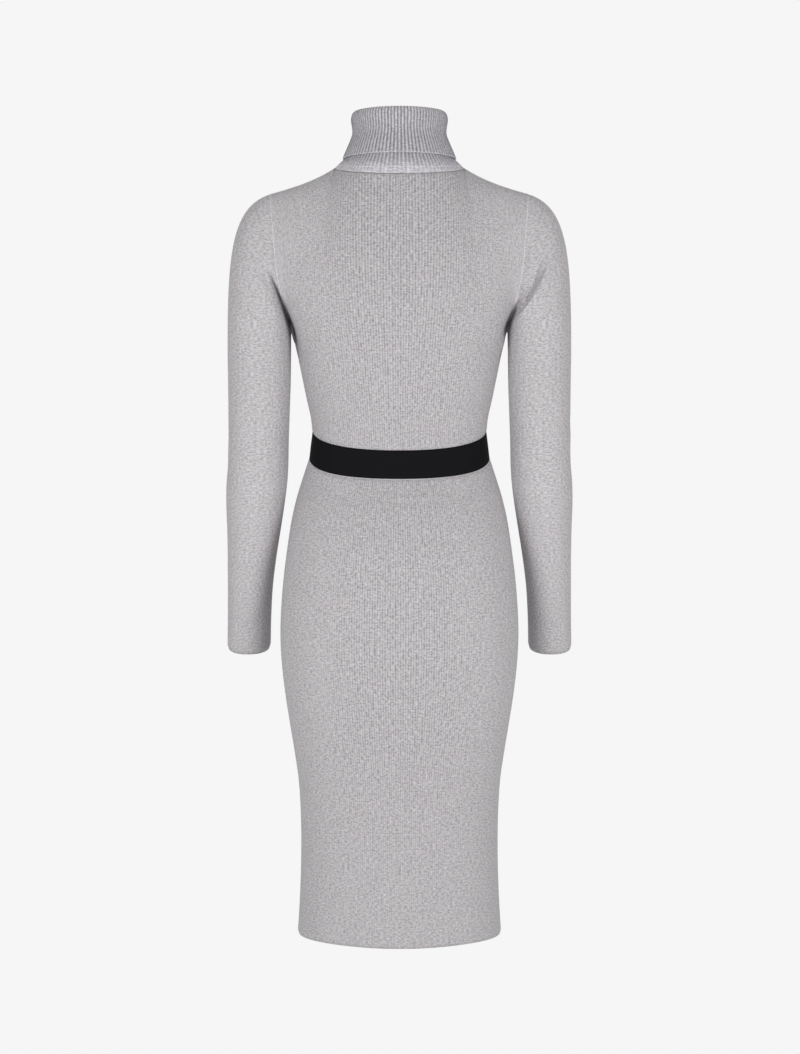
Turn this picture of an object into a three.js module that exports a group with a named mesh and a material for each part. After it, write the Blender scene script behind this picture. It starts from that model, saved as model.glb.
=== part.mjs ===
import * as THREE from 'three';

// Midi sweater dress in fine rib knit, in the form it has when worn, with nobody in it.
// Millimetres, +Z up, the front faces -Y and the wearer's left is +X.
// The origin is the centre of the neck base, where the shoulders carry the dress.

// Driving sizes
const KNIT_WALL = 1.8;
const COLLAR_WALL = 1.6;
const BAND_WALL = 2.2;
const SEAM_GAP = 0.3;
const INNER_GAP = 0.9; // the same seam on the inside, so that walls that bend outwards stay apart
const ARMPIT_Z = -221;
const SECTION_POWER = 2.25; // of the body: 2 is an ellipse, more is squarer
const ARM_POWER = 2.2;
const RIBS_ROUND_COLLAR = 100;
const COLLAR_RIB = 0.9; // crest to trough

// The waist seams dip at the back: fall = TILT * y + BOW * y * y
const WAIST_TILT = 0.2;
const WAIST_BOW = 0.000555;
const TILT_AT_BAND_TOP = 1.05;
const TILT_AT_BAND_BOTTOM = 0.83;
const SKIRT_TILT_END_Z = -600;

// Neckline ring: half width, half depth and heights at side, back and front
const NECK = { wide: 92, deep: 73, side: 5, back: -8, front: -42, scoop: 1.3 };
// Shoulder seam, from the neck point out to the tip: the steady share of its fall,
// and how soon the rest is over
const SHOULDER = { tipX: 182, tipZ: -31, steady: 0.7, ease: 3 };

// Level sections, from the armpit down: half width, depth behind and before the side seam
const TORSO = [
  { z: ARMPIT_Z, wide: 153.8, back: 99, front: 127 },
  { z: -248, wide: 147.6, back: 98, front: 126 },
  { z: -266, wide: 143.5, back: 96, front: 121 },
  { z: -295, wide: 137.7, back: 92, front: 111 },
  { z: -324, wide: 131.9, back: 88.5, front: 102 },
  { z: -350, wide: 126.3, back: 86, front: 96.5 },
  { z: -371.5, wide: 124.0, back: 85, front: 94 },
];
const WAISTBAND = [
  { z: -371.5, wide: 124.0, back: 85, front: 94 },
  { z: -392, wide: 126.5, back: 88, front: 95.5 },
  { z: -414, wide: 128.9, back: 91, front: 97 },
];
const SKIRT = [
  { z: -414, wide: 128.9, back: 91, front: 97 },
  { z: -438, wide: 137.2, back: 100, front: 101 },
  { z: -466, wide: 146.4, back: 111, front: 104 },
  { z: -495, wide: 153.6, back: 119, front: 106 },
  { z: -530, wide: 159.4, back: 126, front: 107.5 },
  { z: -575, wide: 165.4, back: 129, front: 109 },
  { z: -620, wide: 169.2, back: 129, front: 109 },
  { z: -660, wide: 170.5, back: 126, front: 108 },
  { z: -700, wide: 168.6, back: 121.5, front: 106 },
  { z: -745, wide: 163.5, back: 116, front: 104 },
  { z: -790, wide: 156.6, back: 111, front: 102 },
  { z: -830, wide: 150.1, back: 107.5, front: 100 },
  { z: -870, wide: 144.6, back: 105, front: 99 },
  { z: -920, wide: 141.8, back: 102.5, front: 98 },
  { z: -975, wide: 141.4, back: 101, front: 98 },
  { z: -1035, wide: 143.2, back: 100.5, front: 98.5 },
  { z: -1090, wide: 146.5, back: 100, front: 99 },
];

// Armhole seam from the armpit (up = 0) to the shoulder tip (up = 1)
const ARMHOLE = [
  { up: 0, z: ARMPIT_Z, backX: 153.8, backY: 0, frontX: 153.8, frontY: 0 },
  { up: 0.12, z: -202, backX: 159, backY: 29, frontX: 156, frontY: 29 },
  { up: 0.25, z: -172, backX: 167, backY: 45, frontX: 160, frontY: 45 },
  { up: 0.4, z: -134, backX: 173.5, backY: 49, frontX: 164.5, frontY: 50 },
  { up: 0.55, z: -94, backX: 177, backY: 46, frontX: 169, frontY: 47 },
  { up: 0.7, z: -62, backX: 180, backY: 37, frontX: 175, frontY: 38 },
  { up: 0.85, z: -39, backX: 181.6, backY: 22, frontX: 180, frontY: 23 },
  { up: 1, z: SHOULDER.tipZ, backX: SHOULDER.tipX, backY: 0, frontX: SHOULDER.tipX, frontY: 0 },
];

// Arm sections: centre, half width and half depth, down to the sleeve end
const ARM = [
  { z: -262, x: 199.5, y: 4, wide: 45.0, deep: 49 },
  { z: -300, x: 199.4, y: 7, wide: 44.4, deep: 48 },
  { z: -345, x: 199.9, y: 10, wide: 43.4, deep: 46.5 },
  { z: -385, x: 200.5, y: 12, wide: 42.7, deep: 46 },
  { z: -415, x: 201.2, y: 11, wide: 42.8, deep: 46 },
  { z: -440, x: 203.3, y: 7, wide: 43.2, deep: 45.5 },
  { z: -470, x: 205.9, y: -1, wide: 41.7, deep: 44 },
  { z: -505, x: 208.6, y: -12, wide: 38.6, deep: 41 },
  { z: -545, x: 212.2, y: -25, wide: 35.3, deep: 38 },
  { z: -590, x: 215.8, y: -38, wide: 32.6, deep: 35 },
  { z: -635, x: 218.1, y: -52, wide: 31.5, deep: 33.2 },
  { z: -684, x: 219.8, y: -65, wide: 31.4, deep: 32.5 },
];

// Handles of the lines from the armhole seam to the first arm section: out and down from
// the seam, and up from the section. The powers give how they grow towards the shoulder.
const CAP = {
  out: 57,
  outPower: 0.8,
  round: 14, // backwards behind the arm, forwards before it
  fall: 17,
  fallBeside: 11, // more than at the shoulder, behind and before the arm
  lift: 8,
  liftAtShoulder: 142,
  liftPower: 1.4,
};

// Soft troughs on the sleeve, up and out from the armpit: behind (1) or before (-1) the arm
const SLEEVE_CREASES = [
  { facing: 1, fromX: 164, fromZ: -200, toX: 207, toZ: -130, wide: 13, deep: 4.5 },
  { facing: 1, fromX: 168, fromZ: -236, toX: 226, toZ: -205, wide: 14, deep: 2.5 },
  { facing: -1, fromX: 162, fromZ: -202, toX: 212, toZ: -118, wide: 14, deep: 4.5 },
  { facing: -1, fromX: 166, fromZ: -238, toX: 222, toZ: -192, wide: 14, deep: 3 },
  { facing: -1, fromX: 180, fromZ: -392, toX: 222, toZ: -412, wide: 13, deep: 3.5 },
];
const CREASE_FREE_ROWS = 2; // next to the armhole seam

// Roll neck, cut through at the side: half width and height, with how much
// higher it is at the back and lower at the front. Depth follows the width.
const COLLAR_DEPTH = 0.87;
const COLLAR_LEAN = -2; // the ring's centre, in front of the shoulder line
const STAND_INSIDE = [
  { z: 11, wide: 82, rise: -6, drop: 30 },
  { z: 20, wide: 72.5, rise: 0, drop: 15 },
  { z: 36, wide: 66.4, rise: 2, drop: 12 },
  { z: 54, wide: 60.4, rise: 3, drop: 11 },
  { z: 70, wide: 60.8, rise: 3.5, drop: 11 },
];
const FOLD = [
  { z: 80, wide: 60.6, rise: 3.5, drop: 11 },
  { z: 85.2, wide: 63.2, rise: 3.5, drop: 11 },
];
const TURNED_OUTSIDE = [
  { z: 83, wide: 66.2, rise: 3.5, drop: 11 },
  { z: 75, wide: 67.9, rise: 3.5, drop: 11 },
  { z: 64, wide: 66.4, rise: 3.5, drop: 11 },
  { z: 54, wide: 65.8, rise: 3.5, drop: 11 },
  { z: 43, wide: 69.4, rise: 4, drop: 11 },
  { z: 31, wide: 74.6, rise: 4, drop: 11 },
  { z: 18, wide: 80.2, rise: 4, drop: 11 },
];
const TURNED_INSIDE = [
  { z: 18, wide: 78.0, rise: 4, drop: 11 },
  { z: 36, wide: 70.2, rise: 4, drop: 11 },
  { z: 54, wide: 63.7, rise: 3.5, drop: 11 },
  { z: 77, wide: 64.6, rise: 3.5, drop: 11 },
];
const STAND_OUTSIDE = [
  { z: 74, wide: 63.2, rise: 3.5, drop: 11 },
  { z: 54, wide: 62.4, rise: 3, drop: 11 },
  { z: 36, wide: 68.6, rise: 2, drop: 11 },
  { z: 20, wide: 75.2, rise: 0, drop: 14 },
];
const STAND_BARE = [
  { z: 12.5, wide: 83.6, rise: -5, drop: 28 },
];

// How finely the walls are divided
const NECK_SPANS = 5; // from the centre line to the neck point
const SHOULDER_SPANS = 6; // from there to the armhole or side seam
const YOKE_SPANS = 10; // up the armhole
const CAP_SPANS = 8; // from the armhole to the first arm section
const PLAIN_POINTS_ROUND_COLLAR = 40;

// Where a column of cloth lies between the centre line (0) and the edge (1)
const NECK_POINT = 0.45;
const EDGE_PULL = 5; // how close to the armhole the yoke's columns are drawn to its seam
const HALF_COLUMNS = [];
for (let i = 1; i <= NECK_SPANS; i += 1) {
  HALF_COLUMNS.push((NECK_POINT * i) / NECK_SPANS);
}
for (let i = 1; i <= SHOULDER_SPANS; i += 1) {
  HALF_COLUMNS.push(NECK_POINT + ((1 - NECK_POINT) * i) / SHOULDER_SPANS);
}
const COLUMNS = [...HALF_COLUMNS.map((s) => -s).reverse(), 0, ...HALF_COLUMNS];

const BACK = {
  sign: 1,
  depth: 'back',
  x: 'backX',
  y: 'backY',
  neckZ: NECK.back,
  neckPower: 1,
  // Handles of the lines that climb from the armpit level to the top edge
  climb: 85,
  centre: { reach: 17, fall: 62 },
  shoulder: { reach: 62, fall: 0 },
};
const FRONT = {
  sign: -1,
  depth: 'front',
  x: 'frontX',
  y: 'frontY',
  neckZ: NECK.front,
  neckPower: NECK.scoop,
  climb: 60,
  centre: { reach: 16, fall: 50 },
  shoulder: { reach: 52, fall: 0 },
};

const lerp = THREE.MathUtils.lerp;
const vector = (x, y, z) => new THREE.Vector3(x, y, z);

// A smooth row of a table, between its rows, at a value of one column
function rowAt(table, column, value) {
  const down = table[1][column] < table[0][column] ? -1 : 1;
  let i = 0;
  while (i < table.length - 2 && (value - table[i + 1][column]) * down > 0) {
    i += 1;
  }
  const [from, to] = [table[i], table[i + 1]];
  const span = to[column] - from[column];
  const t = (value - from[column]) / span;
  const slope = (k, name) => {
    const a = table[Math.max(k - 1, 0)];
    const b = table[Math.min(k + 1, table.length - 1)];
    return ((b[name] - a[name]) / (b[column] - a[column])) * span;
  };
  const row = {};
  for (const name of Object.keys(from)) {
    const [m0, m1] = [slope(i, name), slope(i + 1, name)];
    const rise = to[name] - from[name];
    row[name] = from[name] + t * m0 + t * t * (3 * rise - 2 * m0 - m1)
      + t * t * t * (m0 + m1 - 2 * rise);
  }
  return row;
}

// A point of a level section, s from -1 at one side seam to 1 at the other
function sectionPoint(row, panel, s) {
  const angle = (s * Math.PI) / 2;
  const power = 2 / SECTION_POWER;
  const across = Math.sign(s) * Math.abs(Math.sin(angle)) ** power;
  const deep = Math.max(Math.cos(angle), 0) ** power;
  return vector(row.wide * across, panel.sign * row[panel.depth] * deep, row.z);
}

function waistFall(y) {
  return WAIST_TILT * y + WAIST_BOW * y * y;
}

// A row of a panel below the armpit, lowered by a share of the waist's fall
function levelRow(row, panel, tilt) {
  return COLUMNS.map((s) => {
    const point = sectionPoint(row, panel, s);
    point.z -= tilt * waistFall(point.y);
    return point;
  });
}

// The top edge of a panel: neckline out to the neck point, then the shoulder seam
function topEdge(panel, s) {
  const out = Math.abs(s);
  if (out <= NECK_POINT) {
    const angle = ((s / NECK_POINT) * Math.PI) / 2;
    const middle = Math.cos(angle);
    const height = NECK.side + (panel.neckZ - NECK.side) * Math.max(middle, 0) ** panel.neckPower;
    return vector(NECK.wide * Math.sin(angle), panel.sign * NECK.deep * middle, height);
  }
  const q = (out - NECK_POINT) / (1 - NECK_POINT);
  const x = lerp(NECK.wide, SHOULDER.tipX, q);
  const fall = lerp(1 - (1 - q) ** SHOULDER.ease, q, SHOULDER.steady);
  return vector(Math.sign(s) * x, 0, lerp(NECK.side, SHOULDER.tipZ, fall));
}

function armholePoint(panel, side, up) {
  const row = rowAt(ARMHOLE, 'up', up);
  return vector(side * row[panel.x], panel.sign * row[panel.y], row.z);
}

function bezier(p0, p1, p2, p3, t) {
  const curve = new THREE.CubicBezierCurve3(p0, p1, p2, p3);
  return curve.getPoint(t);
}

// A point of the yoke, on a line that climbs from the armpit level to the top edge
function climbingPoint(panel, s, up) {
  const start = sectionPoint(TORSO[0], panel, s);
  const below = sectionPoint(rowAt(TORSO, 'z', ARMPIT_Z - 1), panel, s);
  const first = start.clone().addScaledVector(start.clone().sub(below), panel.climb);
  const end = topEdge(panel, s);
  const q = Math.min(Math.abs(s) / NECK_POINT, 1) ** 2;
  const reach = lerp(panel.centre.reach, panel.shoulder.reach, q);
  const fall = lerp(panel.centre.fall, panel.shoulder.fall, q);
  const second = end.clone().add(vector(0, panel.sign * reach, -fall));
  return bezier(start, first, second, end, up);
}

// The same, drawn to the armhole seam near the panel's edge
function yokePoint(panel, s, up) {
  const point = climbingPoint(panel, s, up);
  const side = Math.sign(s) || 1;
  const pull = armholePoint(panel, side, up).sub(climbingPoint(panel, side, up));
  return point.addScaledVector(pull, Math.abs(s) ** EDGE_PULL);
}

function bodicePanel(panel) {
  const rows = [];
  const torsoHeight = ARMPIT_Z - TORSO[TORSO.length - 1].z;
  for (const row of [...TORSO].reverse()) {
    const low = (ARMPIT_Z - row.z) / torsoHeight;
    rows.push(levelRow(row, panel, TILT_AT_BAND_TOP * low ** 2));
  }
  for (let j = 1; j <= YOKE_SPANS; j += 1) {
    rows.push(COLUMNS.map((s) => yokePoint(panel, s, j / YOKE_SPANS)));
  }
  return rows;
}

function skirtPanel(panel) {
  return [...SKIRT].reverse().map((row) => {
    const high = Math.max((row.z - SKIRT_TILT_END_Z) / (SKIRT[0].z - SKIRT_TILT_END_Z), 0);
    return levelRow(row, panel, TILT_AT_BAND_BOTTOM * high ** 2);
  });
}

// The band's ring at one height takes in both panels' columns
function waistbandRing(row) {
  const low = (WAISTBAND[0].z - row.z) / (WAISTBAND[0].z - WAISTBAND[WAISTBAND.length - 1].z);
  const tilt = lerp(TILT_AT_BAND_TOP, TILT_AT_BAND_BOTTOM, low);
  const behind = levelRow(row, BACK, tilt).reverse();
  const before = levelRow(row, FRONT, tilt);
  return [...behind, ...before.slice(1, -1)];
}

function armPoint(row, lean, side, angle) {
  const square = (value) => Math.sign(value) * Math.abs(value) ** (2 / ARM_POWER);
  const across = row.wide * square(Math.cos(angle));
  const deep = row.deep * square(Math.sin(angle));
  return vector(side * (row.x + across), row.y + deep, row.z - lean * deep);
}

// A point of the sleeve's cap, t from the armhole seam to the first arm section
function capPoint(side, angle, t) {
  const panel = angle <= Math.PI ? BACK : FRONT;
  const [high, round] = [(1 + Math.cos(angle)) / 2, Math.sin(angle)];
  // Under the arm the sleeve lies beside the bodice, so it starts clear of it sideways
  const clear = vector(side * SEAM_GAP * (1 - high), 0, 0);
  const start = armholePoint(panel, side, Math.abs(1 - angle / Math.PI)).add(clear);
  const out = vector(
    side * CAP.out * high ** CAP.outPower,
    CAP.round * round,
    -CAP.fall - CAP.fallBeside * Math.abs(round),
  );
  const end = armPoint(ARM[0], 0, side, angle);
  const lift = vector(0, 0, CAP.lift + CAP.liftAtShoulder * high ** CAP.liftPower);
  return bezier(start, start.clone().add(out), end.clone().add(lift), end, t);
}

// Columns go round an arm from its outer side by the back
function sleeveRows(side) {
  const turn = Array.from({ length: 2 * YOKE_SPANS }, (_, j) => (Math.PI * j) / YOKE_SPANS);
  const rows = [];
  for (let i = 0; i < CAP_SPANS; i += 1) {
    rows.push(turn.map((angle) => capPoint(side, angle, i / CAP_SPANS)));
  }
  ARM.forEach((row, i) => {
    const [above, below] = [ARM[Math.max(i - 1, 0)], ARM[Math.min(i + 1, ARM.length - 1)]];
    const lean = (above.y - below.y) / (above.z - below.z);
    rows.push(turn.map((angle) => armPoint(row, i === 0 ? 0 : lean, side, angle)));
  });
  return rows;
}

// How deep the creases are at a point of a sleeve
function creaseDepth(point) {
  const place = new THREE.Vector2(Math.abs(point.x), point.z);
  let depth = 0;
  for (const crease of SLEEVE_CREASES) {
    const from = new THREE.Vector2(crease.fromX, crease.fromZ);
    const run = new THREE.Vector2(crease.toX, crease.toZ).sub(from);
    const share = THREE.MathUtils.clamp(place.clone().sub(from).dot(run) / run.lengthSq(), 0, 1);
    const away = place.distanceTo(from.addScaledVector(run, share)) / crease.wide;
    if (point.y * crease.facing > 0) {
      depth += crease.deep * Math.exp(-away * away);
    }
  }
  return depth;
}

// The sleeve's rows with the creases pressed in along the surface's normal
function creasedSleeve(side) {
  const rows = sleeveRows(side);
  const pressed = insideOf(rows, side, true);
  return rows.map((row, j) => row.map((point, i) => {
    const share = Math.min(j / CREASE_FREE_ROWS, 1) * creaseDepth(point);
    return point.clone().lerp(pressed[j][i], share);
  }));
}

// Points of a ring of the collar. The ribs stand out and in by half their height.
function collarRing(row, points, rib) {
  return Array.from({ length: points }, (_, k) => {
    const angle = (2 * Math.PI * k) / points;
    const behind = Math.max(Math.sin(angle), 0);
    const before = Math.max(-Math.sin(angle), 0);
    const wide = row.wide + (k % 2 ? -rib / 2 : rib / 2);
    const height = row.z + row.rise * behind - row.drop * before ** NECK.scoop;
    return vector(
      wide * Math.cos(angle),
      COLLAR_LEAN + wide * COLLAR_DEPTH * Math.sin(angle),
      height,
    );
  });
}

// The collar's foot follows the straight spans of the two necklines
function collarFoot(points, inset) {
  const perSpan = points / (4 * NECK_SPANS);
  return Array.from({ length: points }, (_, k) => {
    const span = Math.floor(k / perSpan);
    const corner = (n) => {
      const angle = (2 * Math.PI * n) / (4 * NECK_SPANS);
      const panel = Math.sin(angle) >= 0 ? BACK : FRONT;
      const side = Math.cos(angle) >= 0 ? 1 : -1;
      const s = side * NECK_POINT * (1 - Math.abs(Math.asin(Math.sin(angle))) / (Math.PI / 2));
      return topEdge(panel, s);
    };
    const point = corner(span).lerp(corner(span + 1), (k % perSpan) / perSpan);
    const outward = vector(point.x, point.y, 0).normalize();
    return point.addScaledVector(outward, -inset).add(vector(0, 0, SEAM_GAP));
  });
}

function collarRings() {
  const ribbed = 2 * RIBS_ROUND_COLLAR;
  const plain = (row) => collarRing(row, PLAIN_POINTS_ROUND_COLLAR, 0);
  const raised = (row) => collarRing(row, ribbed, COLLAR_RIB);
  return [
    collarFoot(PLAIN_POINTS_ROUND_COLLAR, COLLAR_WALL),
    ...STAND_INSIDE.map(plain),
    ...FOLD.map(plain),
    ...TURNED_OUTSIDE.map(raised),
    ...TURNED_INSIDE.map(plain),
    ...STAND_OUTSIDE.map(plain),
    ...STAND_BARE.map(raised),
    collarFoot(ribbed, 0),
  ];
}

// The edge points of a sheet move in by half a gap, towards the next row or column
function openSeams(rows, round, gap) {
  const half = gap / 2;
  const pull = (point, next) => point.add(next.clone().sub(point).setLength(half));
  const [last, rim] = [rows.length - 1, rows[0].length - 1];
  rows[0].forEach((point, i) => pull(point, rows[1][i]));
  rows[last].forEach((point, i) => pull(point, rows[last - 1][i]));
  if (!round) {
    for (const row of rows) {
      pull(row[0], row[1]);
      pull(row[rim], row[rim - 1]);
    }
  }
  return rows;
}

// The direction of a line of points at one of them, true to the curve at its ends too
function along(line, i, round) {
  const last = line.length - 1;
  const at = (k) => line[(k + line.length) % line.length];
  if (round || (i > 0 && i < last)) {
    return at(i + 1).clone().sub(at(i - 1));
  }
  const inward = i === 0 ? 1 : -1;
  const near = line[i + inward].clone().multiplyScalar(4);
  const away = near.addScaledVector(line[i], -3).sub(line[i + 2 * inward]);
  return away.multiplyScalar(inward);
}

// The wall's inside: each point moves in along the surface's normal
function insideOf(rows, wall, round) {
  return rows.map((row, j) => row.map((point, i) => {
    const up = along(rows.map((other) => other[i]), j, false);
    const normal = along(row, i, round).cross(up).normalize();
    return point.clone().addScaledVector(normal, wall);
  }));
}

// Triangles between two rings, which may have different numbers of points
function bridge(a, b, ringA, ringB, index) {
  let [i, j] = [0, 0];
  while (i < ringA || j < ringB) {
    const stepA = (i + 1) / ringA <= (j + 1) / ringB ? i < ringA : j >= ringB;
    if (stepA) {
      index.push(a + (i % ringA), b + (j % ringB), a + ((i + 1) % ringA));
      i += 1;
    } else {
      index.push(a + (i % ringA), b + (j % ringB), b + ((j + 1) % ringB));
      j += 1;
    }
  }
}

function solid(points, index) {
  const geometry = new THREE.BufferGeometry();
  geometry.setAttribute('position', new THREE.Float32BufferAttribute(points.flatMap((p) => p.toArray()), 3));
  let volume = 0;
  for (let t = 0; t < index.length; t += 3) {
    const [a, b, c] = [points[index[t]], points[index[t + 1]], points[index[t + 2]]];
    volume += a.dot(b.clone().cross(c));
  }
  geometry.setIndex(volume < 0 ? index.reverse() : index);
  geometry.computeVertexNormals();
  return geometry;
}

// A closed loop of rings, swept round: the collar
function ringSolid(rings) {
  const points = rings.flat();
  const starts = rings.map((_, n) => rings.slice(0, n).flat().length);
  const index = [];
  rings.forEach((ring, n) => {
    const next = (n + 1) % rings.length;
    bridge(starts[n], starts[next], ring.length, rings[next].length, index);
  });
  return solid(points, index);
}

// A wall between a sheet of outer points and its inside, round like a tube or open like a panel
function wallSolid(rows, wall, round) {
  const inside = insideOf(rows, wall, round);
  const sheets = [openSeams(rows, round, SEAM_GAP), openSeams(inside, round, INNER_GAP)];
  const [height, width] = [rows.length, rows[0].length];
  const at = (sheet, j, i) => sheet * height * width + j * width + (i % width);
  const index = [];
  const quad = (a, b, c, d) => index.push(a, b, c, a, c, d);
  const across = round ? width : width - 1;
  for (let j = 0; j < height - 1; j += 1) {
    for (let i = 0; i < across; i += 1) {
      quad(at(0, j, i), at(0, j, i + 1), at(0, j + 1, i + 1), at(0, j + 1, i));
      quad(at(1, j, i), at(1, j + 1, i), at(1, j + 1, i + 1), at(1, j, i + 1));
    }
    if (!round) {
      quad(at(0, j, 0), at(0, j + 1, 0), at(1, j + 1, 0), at(1, j, 0));
      const rim = width - 1;
      quad(at(0, j, rim), at(1, j, rim), at(1, j + 1, rim), at(0, j + 1, rim));
    }
  }
  for (let i = 0; i < across; i += 1) {
    const top = height - 1;
    quad(at(0, 0, i), at(1, 0, i), at(1, 0, i + 1), at(0, 0, i + 1));
    quad(at(0, top, i), at(0, top, i + 1), at(1, top, i + 1), at(1, top, i));
  }
  return solid(sheets.flat(2), index);
}

// Panels run from one side to the other, so the back one is turned round to face out
function panelSolid(rows, panel) {
  const facing = panel.sign > 0 ? rows.map((row) => [...row].reverse()) : rows;
  return wallSolid(facing, -KNIT_WALL, false);
}

function sleeveSolid(side) {
  const rows = creasedSleeve(side);
  const facing = side > 0 ? rows : rows.map((row) => [...row].reverse());
  return wallSolid(facing, KNIT_WALL, true);
}

function cloth(name, geometry, color) {
  const material = new THREE.MeshStandardMaterial({ color, roughness: 0.95, metalness: 0 });
  const mesh = new THREE.Mesh(geometry, material);
  mesh.name = name;
  return mesh;
}

const GREY_KNIT = 0xbab8ba;
const GREY_COLLAR = 0xaba8ad;
const BLACK_ELASTIC = 0x1e1e20;

const dress = new THREE.Group();
dress.name = 'sweater_dress';
dress.add(
  cloth('bodice_back', panelSolid(bodicePanel(BACK), BACK), GREY_KNIT),
  cloth('bodice_front', panelSolid(bodicePanel(FRONT), FRONT), GREY_KNIT),
  cloth('skirt_back', panelSolid(skirtPanel(BACK), BACK), GREY_KNIT),
  cloth('skirt_front', panelSolid(skirtPanel(FRONT), FRONT), GREY_KNIT),
  cloth('sleeve_left', sleeveSolid(1), GREY_KNIT),
  cloth('sleeve_right', sleeveSolid(-1), GREY_KNIT),
  cloth('collar', ringSolid(collarRings()), GREY_COLLAR),
  cloth('waistband', wallSolid([...WAISTBAND].reverse().map(waistbandRing), -BAND_WALL, true), BLACK_ELASTIC),
);

export default dress;
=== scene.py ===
# %% [markdown]
# # A rib-knit sweater dress
# The dress is shown as it fills out when worn, with nobody in it. A knitter makes it from eight
# pieces: a bodice front and back, a skirt front and back, two sleeves, a roll neck and a black
# elastic waistband. The solids that carry it are loaded first, as a fixed frame. They have each
# piece's size and place, but no fine ribs and no stitches. This script knits those.

# %% Load the frame
import math

import bpy
import numpy as np
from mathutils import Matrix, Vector


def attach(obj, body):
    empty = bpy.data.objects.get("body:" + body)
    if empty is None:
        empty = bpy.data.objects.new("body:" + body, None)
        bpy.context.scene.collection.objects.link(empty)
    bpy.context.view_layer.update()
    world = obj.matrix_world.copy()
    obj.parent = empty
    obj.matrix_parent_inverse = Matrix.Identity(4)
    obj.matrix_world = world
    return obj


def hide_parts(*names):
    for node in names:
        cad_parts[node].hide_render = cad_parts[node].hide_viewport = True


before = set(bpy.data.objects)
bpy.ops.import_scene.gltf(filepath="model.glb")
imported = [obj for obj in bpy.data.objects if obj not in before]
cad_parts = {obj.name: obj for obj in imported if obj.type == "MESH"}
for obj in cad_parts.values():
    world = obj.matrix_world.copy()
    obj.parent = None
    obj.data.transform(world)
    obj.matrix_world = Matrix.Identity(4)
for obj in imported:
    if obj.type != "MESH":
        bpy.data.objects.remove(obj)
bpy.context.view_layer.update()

MM = 0.001

# %% [markdown]
# ## The camera
# The photograph looks straight at the dress's back, from about three and a half metres and level
# with the upper chest, because the hem's near edge hangs lower than its sides and the neck's near
# edge stands higher. The lens follows from the distance and from how tall a strip the frame takes.

# %% Camera
CAMERA_DISTANCE = 3.5
CAMERA_HEIGHT = -0.312
FRAME_TALL = 1.507  # metres of the dress's plane from the frame's bottom to its top
CAMERA_PITCH = math.radians(3.157)  # looks slightly down
SENSOR = 36.0

camera_data = bpy.data.cameras.new("camera")
camera_data.sensor_width = SENSOR
camera_data.lens = SENSOR * CAMERA_DISTANCE / FRAME_TALL
camera = bpy.data.objects.new("camera", camera_data)
camera.location = (-0.0008, CAMERA_DISTANCE, CAMERA_HEIGHT)
camera.rotation_euler = (math.pi / 2 - CAMERA_PITCH, 0, math.pi)
bpy.context.scene.collection.objects.link(camera)
bpy.context.scene.camera = camera
print("lens", round(camera_data.lens, 1), "mm")

# %% [markdown]
# ## Sizes
# A knitter's pattern gives the width of the cloth at a few heights. The tables below do the same:
# one row for a level, from the top down, in millimetres. Between two rows the form runs on smoothly,
# as a spline does. The numbers are the dress's own measures, the same as the solids have. Three fine
# points are this script's own: the waist seams rise a little at the sides, the back hem hangs a few
# millimetres lower in its middle, and the collar's fold lies two millimetres deeper.

# %% Tables of the dress's form
ARMPIT_Z = -221.0
SECTION_POWER, ARM_POWER = 2.25, 2.2  # 2 is an ellipse, more is squarer
WAIST_TILT, WAIST_BOW = 0.2, 0.000555  # the waist seams fall towards the back
TILT_AT_BAND_TOP, TILT_AT_BAND_BOTTOM = 1.05, 0.83
LIFT_AT_BAND_TOP, LIFT_AT_BAND_BOTTOM = 4.2, 7.0  # at the side seams, where the hips push them up
LIFT_REACH = 48.0  # how far from the side seam the lift is felt
SKIRT_TILT_END_Z = -600.0
HEM_DIP, HEM_DIP_TALL = 3.6, 120.0  # at the middle of the back, and how far up it is felt
NECK = dict(wide=92, deep=73, side=5, back=-8, front=-42, scoop=1.3)
SHOULDER = dict(tip_x=182, tip_z=-31, steady=0.7, ease=3)
NECK_POINT = 0.45  # where the neckline ends on the way from the centre line to the armhole


def table(names, rows):
    return {name: np.array(column, float) for name, column in zip(names.split(), zip(*rows))}


TORSO = table("z wide back front", [
    (ARMPIT_Z, 153.8, 99, 127), (-248, 147.6, 98, 126), (-266, 143.5, 96, 121), (-295, 137.7, 92, 111),
    (-324, 131.9, 88.5, 102), (-350, 126.3, 86, 96.5), (-371.5, 124.0, 85, 94),
])
WAISTBAND = table("z wide back front", [
    (-371.5, 124.0, 85, 94), (-392, 126.5, 88, 95.5), (-414, 128.9, 91, 97),
])
SKIRT = table("z wide back front", [
    (-414, 128.9, 91, 97), (-438, 137.2, 100, 101), (-466, 146.4, 111, 104), (-495, 153.6, 119, 106),
    (-530, 159.4, 126, 107.5), (-575, 165.4, 129, 109), (-620, 169.2, 129, 109), (-660, 170.5, 126, 108),
    (-700, 168.6, 121.5, 106), (-745, 163.5, 116, 104), (-790, 156.6, 111, 102), (-830, 150.1, 107.5, 100),
    (-870, 144.6, 105, 99), (-920, 141.8, 102.5, 98), (-975, 141.4, 101, 98), (-1035, 143.2, 100.5, 98.5),
    (-1090, 146.5, 100, 99),
])
ARMHOLE = table("up z back_x back_y front_x front_y", [
    (0, ARMPIT_Z, 153.8, 0, 153.8, 0), (0.12, -202, 159, 29, 156, 29), (0.25, -172, 167, 45, 160, 45),
    (0.4, -134, 173.5, 49, 164.5, 50), (0.55, -94, 177, 46, 169, 47), (0.7, -62, 180, 37, 175, 38),
    (0.85, -39, 181.6, 22, 180, 23), (1, SHOULDER["tip_z"], SHOULDER["tip_x"], 0, SHOULDER["tip_x"], 0),
])
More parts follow.
